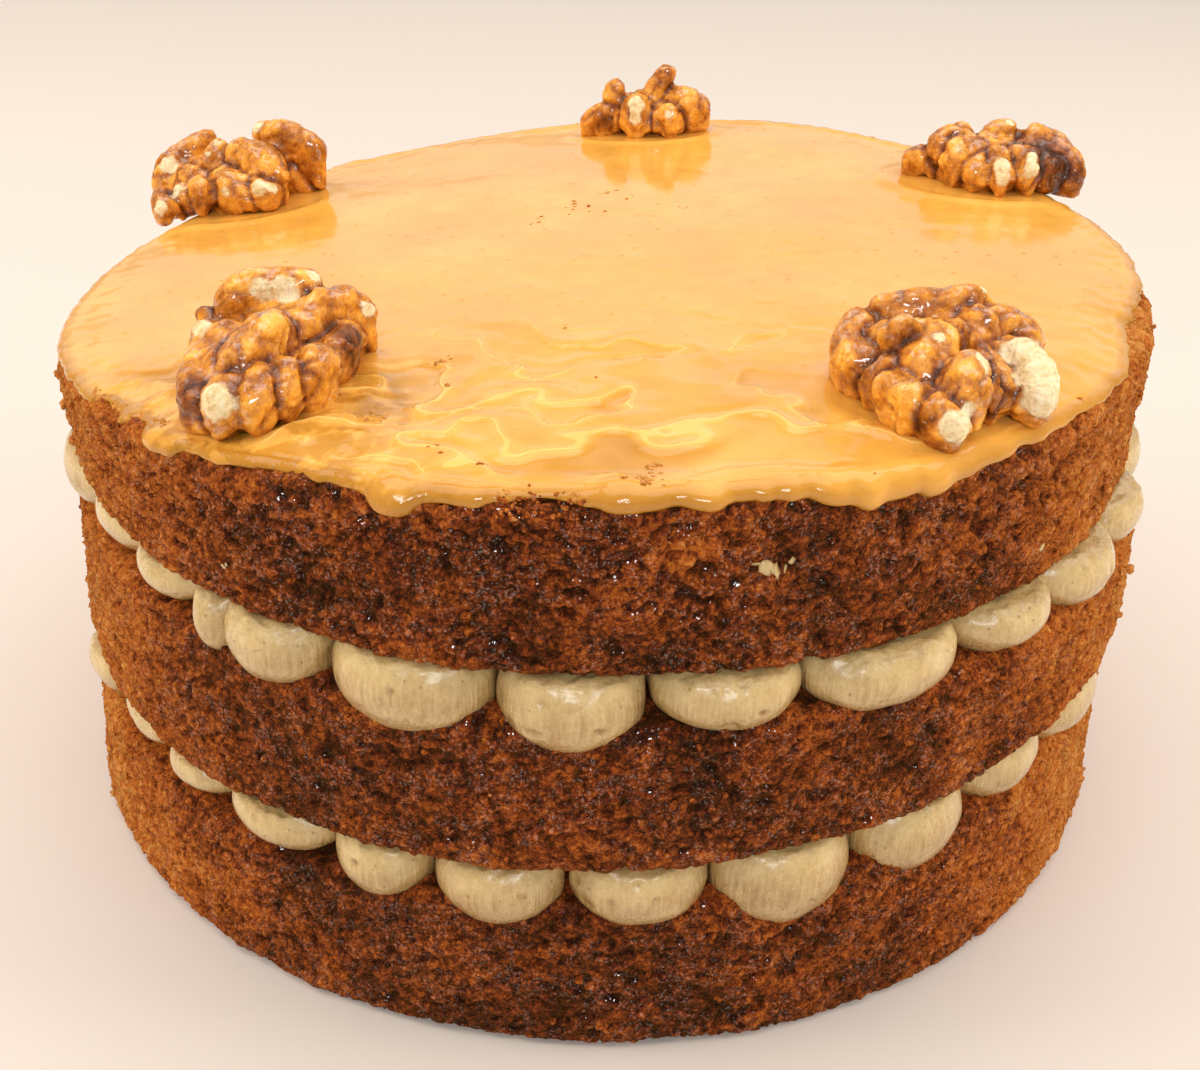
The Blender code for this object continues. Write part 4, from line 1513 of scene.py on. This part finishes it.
def press_on_side(lumps, surfaces, bearing, height, radius, *shape):
    """A lump on whichever of the surfaces is outermost there. Its shape is how flat it is,
    how far it is sunk and, if it matters, its grain."""
    turn = math.radians(bearing)
    outwards = Vector((math.sin(turn), -math.cos(turn), 0.0))
    start = Vector((*MIDDLE, height)) + outwards * 0.2
    hits = [surface.ray_cast(start, -outwards) for surface in surfaces]
    # a ray that misses this side goes on to the far one, which does not count
    hits = [hit for hit in hits if hit[0] is not None and hit[3] < 0.13]
    if hits:
        place, facing, face, far = min(hits, key=lambda hit: hit[3])
        add_lump(lumps, place, facing, radius, *shape)


def height_in(name, bearing, share):
    """The height at a share of the layer's thickness, near its rim."""
    turn = math.radians(bearing)
    x, y = RIM_RADIUS * math.sin(turn), -RIM_RADIUS * math.cos(turn)
    floor = float(floor_of[name].at(x, y))
    roof = float(roof_of[name].at(x, y))
    return floor + (roof - floor) * share


def finish_lumps(lumps, name):
    piece = lumps.piece(name)
    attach(piece, "root")
    return piece


icing_surface = surface_of(icing)
sponge_surfaces = {name: surface_of(piece) for name, piece in zip(SPONGES, sponges)}
print("rays can find", len(sponge_surfaces) + 1, "surfaces")

# %% [markdown]
# Crumbs gather where a knife has been, so the specks on the icing are listed as small
# clusters, and those near its edge as stretches of the rim. The flanks of the sponges get
# theirs evenly, because there the sponge itself sheds them.

# %% Strew the crumbs
# millimetres right of and behind the cake's middle, how far they spread, how many
SPECKS_ON_ICING = (
    (-12.4, 19.3, 2.5, 6), (-6.3, 26, 3.5, 12), (0, 33.7, 3, 7), (13.3, 24.2, 1, 4),
    (-22.7, -48, 1.0, 7), (-6.8, -36.4, 0.6, 2), (-29.5, -67.8, 1.8, 12), (-32, -66.4, 1.2, 6),
    (6.5, -82, 1.2, 8), (5.8, -86.5, 1.6, 16), (-15, -82, 0.8, 4), (-37.8, -60.8, 1.6, 12),
    (-20.8, -77.8, 1.4, 4), (-21.1, -57.6, 0.8, 2), (-1.7, -55.2, 0.5, 1), (-9.9, -54.6, 0.7, 2),
    (34, -86, 1.6, 3), (52, -30, 2.0, 2), (-60, -10, 7.0, 4), (-48, -66, 4.0, 6),
)
# from and to which bearing in degrees, how many, and how far out in millimetres
CRUMBS_ON_EDGE = (
    (-8.5, -1.5, 70, 89.8), (62, 100, 80, 90.0), (-56, -41, 50, 88.4), (100, 280, 70, 90.2),
)
THIN_STRETCH = (-8.0, -1.0)
CRUMBS_ON_THIN_STRETCH = 95
# from and to which share of the layer's height, and how many
CRUMBS_ON_SIDES = {
    "sponge_top": (0.12, 0.92, 420),
    "sponge_middle": (0.10, 0.90, 260),
    "sponge_bottom": (0.06, 0.90, 260),
}


def crumbs_on_top(crumbs):
    for right, back, spread, count in SPECKS_ON_ICING:
        for number in range(count):
            x = (right + chance.normal(0, spread * 0.7)) * MM
            y = (back + chance.normal(0, spread * 0.6)) * MM
            drop_on_icing(crumbs, x, y, chance.uniform(0.18, 0.58) * MM)
    for start, end, count, out in CRUMBS_ON_EDGE:
        for number in range(count):
            turn = math.radians(chance.uniform(start, end))
            reach = (out + chance.uniform(-1.4, 0.6)) * MM
            drop_on_icing(crumbs, reach * math.sin(turn), -reach * math.cos(turn),
                          chance.uniform(0.2, 0.5) * MM)


def crumbs_on_sides(crumbs):
    thin_roof = float(roof_of["sponge_top"].at(MIDDLE[0], MIDDLE[1] - 0.089))
    both = (icing_surface, sponge_surfaces["sponge_top"])
    for number in range(CRUMBS_ON_THIN_STRETCH):
        press_on_side(crumbs, both, chance.uniform(*THIN_STRETCH),
                      thin_roof + chance.uniform(-2.0, 0.7) * MM,
                      chance.uniform(0.15, 0.40) * MM, 0.7, 0.3, chance.uniform(0.2, 1.2))
    for name, (lowest, highest, count) in CRUMBS_ON_SIDES.items():
        for number in range(count):
            bearing = chance.uniform(0, 360)
            height = height_in(name, bearing, chance.uniform(lowest, highest))
            press_on_side(crumbs, (sponge_surfaces[name],), bearing, height,
                          chance.uniform(0.30, 0.66) * MM, chance.uniform(0.5, 1.1), 0.15)
    # one flake stands well out at the left
    height = float(floor_of["sponge_middle"].at(*MIDDLE)) + 4 * MM
    press_on_side(crumbs, (sponge_surfaces["sponge_middle"],), -86.0, height, 0.9 * MM, 1.5, 0.1)


def strew_crumbs():
    crumbs = Gathered()
    crumbs_on_top(crumbs)
    crumbs_on_sides(crumbs)
    return finish_lumps(crumbs, "loose_crumbs")


crumbs = strew_crumbs()
sponge_finish.cover(crumbs)

# %% [markdown]
# The piping also left a little cream where it should not be: a smear on the front of the top
# layer and some dabs beside the domes. They are the same lumps, pressed nearly flat.

# %% Smear a little cream
# bearing from the front in degrees, height as a share of the layer, radius in millimetres
CREAM_DABS = (
    (13.1, 0.63, 1.0), (13.9, 0.61, 1.1), (14.8, 0.60, 0.9), (12.4, 0.65, 0.7),
    (15.5, 0.63, 0.6), (-33.0, 0.30, 0.5), (44.0, 0.25, 0.6), (151.0, 0.55, 0.9),
    (-120.0, 0.40, 0.7),
)
DAB_FLATNESS = 0.24
DAB_SUNK = 0.02


def smear_cream():
    dabs = Gathered()
    for bearing, share, radius in CREAM_DABS:
        press_on_side(dabs, (sponge_surfaces["sponge_top"],), bearing,
                      height_in("sponge_top", bearing, share), radius * MM,
                      DAB_FLATNESS, DAB_SUNK)
    return finish_lumps(dabs, "cream_dabs")


cream_dabs = smear_cream()
cream_finish.cover(cream_dabs)

# %% [markdown]
# ## Floor and light
# The cake stands on a plain pale floor. It is a grid that curves up well behind the cake, like
# a roll of paper hung from a wall, so no line crosses behind it.

# %% The floor
FLOOR_SIZE = 4.0
FLOOR_STEPS = 24
LEVEL_UNTIL = 1.2
NO_TRIANGLES = np.zeros((0, 3), int)


def make_floor():
    side = FLOOR_SIZE * (np.arange(FLOOR_STEPS + 1) / FLOOR_STEPS - 0.5)
    y, x = np.meshgrid(side, side, indexing="ij")
    rise = 0.6 * np.maximum(0.0, y - LEVEL_UNTIL) ** 2
    points = np.stack([x, y, rise], axis=-1).reshape(-1, 3)
    row, column = np.indices((FLOOR_STEPS, FLOOR_STEPS))
    corner = (row * (FLOOR_STEPS + 1) + column).reshape(-1, 1)
    quads = corner + np.array([0, 1, FLOOR_STEPS + 2, FLOOR_STEPS + 1])
    return mesh_piece("floor", points, quads, NO_TRIANGLES, {})


def make_floor_finish():
    finish = Finish("warm_white_floor", Roughness=0.6)
    tone = finish.noise(0.6, 2)
    finish.set(Base_Color=finish.mix(tone, (0.715, 0.635, 0.565), (0.755, 0.675, 0.605)))
    return finish


floor = make_floor()
floor_finish = make_floor_finish()
floor_finish.cover(floor)

# %% [markdown]
# The room is bright. One broad soft light overhead gives the icing its sheen, two at the sides
# lift the edges, and a small one in front puts the soft spot on each dome and the sparkle on
# the icing's bead. Two wide cool ones behind are the wall that the icing mirrors. The side
# lights are hidden from mirrors, or they would show in the icing as hard white squares.

# %% Lights and world
LIGHTS = (
    # name, place, target, size, power, colour, mirrored
    ("overhead", (0.0, 0.15, 1.1), (0, 0, 0.05), (1.7, 1.2), 12.5, (1.0, 0.95, 0.89), True),
    ("left_fill", (-1.0, 0.0, 0.32), (0, 0, 0.05), (0.5, 0.9), 8.1, (1.0, 0.94, 0.86), False),
    ("right_fill", (1.0, 0.0, 0.32), (0, 0, 0.05), (0.5, 0.9), 7.2, (1.0, 0.94, 0.86), False),
    ("wall_low", (0.0, 1.9, 0.58), (0, 0, 0.1), (3.6, 0.45), 3.2, (0.88, 0.95, 1.0), True),
    ("wall_high", (0.0, 1.9, 1.08), (0, 0, 0.1), (3.6, 0.55), 2.3, (0.88, 0.95, 1.0), True),
    ("front_spot", (0.05, -0.80, 0.52), (0, 0, 0.06), (0.34, 0.22), 3.0, (0.95, 0.97, 1.0), True),
)


def make_light(name, place, target, size, power, colour, mirrored):
    lamp = bpy.data.lights.new(name, "AREA")
    lamp.shape = "RECTANGLE"
    lamp.size, lamp.size_y = size
    lamp.energy = power
    lamp.color = colour
    light = bpy.data.objects.new(name, lamp)
    light.location = place
    aim = Vector(target) - Vector(place)
    light.rotation_euler = aim.to_track_quat("-Z", "Y").to_euler()
    light.visible_glossy = mirrored
    bpy.context.scene.collection.objects.link(light)


def make_world():
    world = bpy.data.worlds.new("bright_room")
    bpy.context.scene.world = world
    world.use_nodes = True
    background = world.node_tree.nodes["Background"]
    background.inputs["Color"].default_value = (1.0, 0.93, 0.85, 1.0)
    background.inputs["Strength"].default_value = 0.32
    scene = bpy.context.scene
    scene.view_settings.view_transform = "Standard"
    scene.view_settings.look = "None"


for light in LIGHTS:
    make_light(*light)
make_world()
print("the room has", len(LIGHTS), "lights")
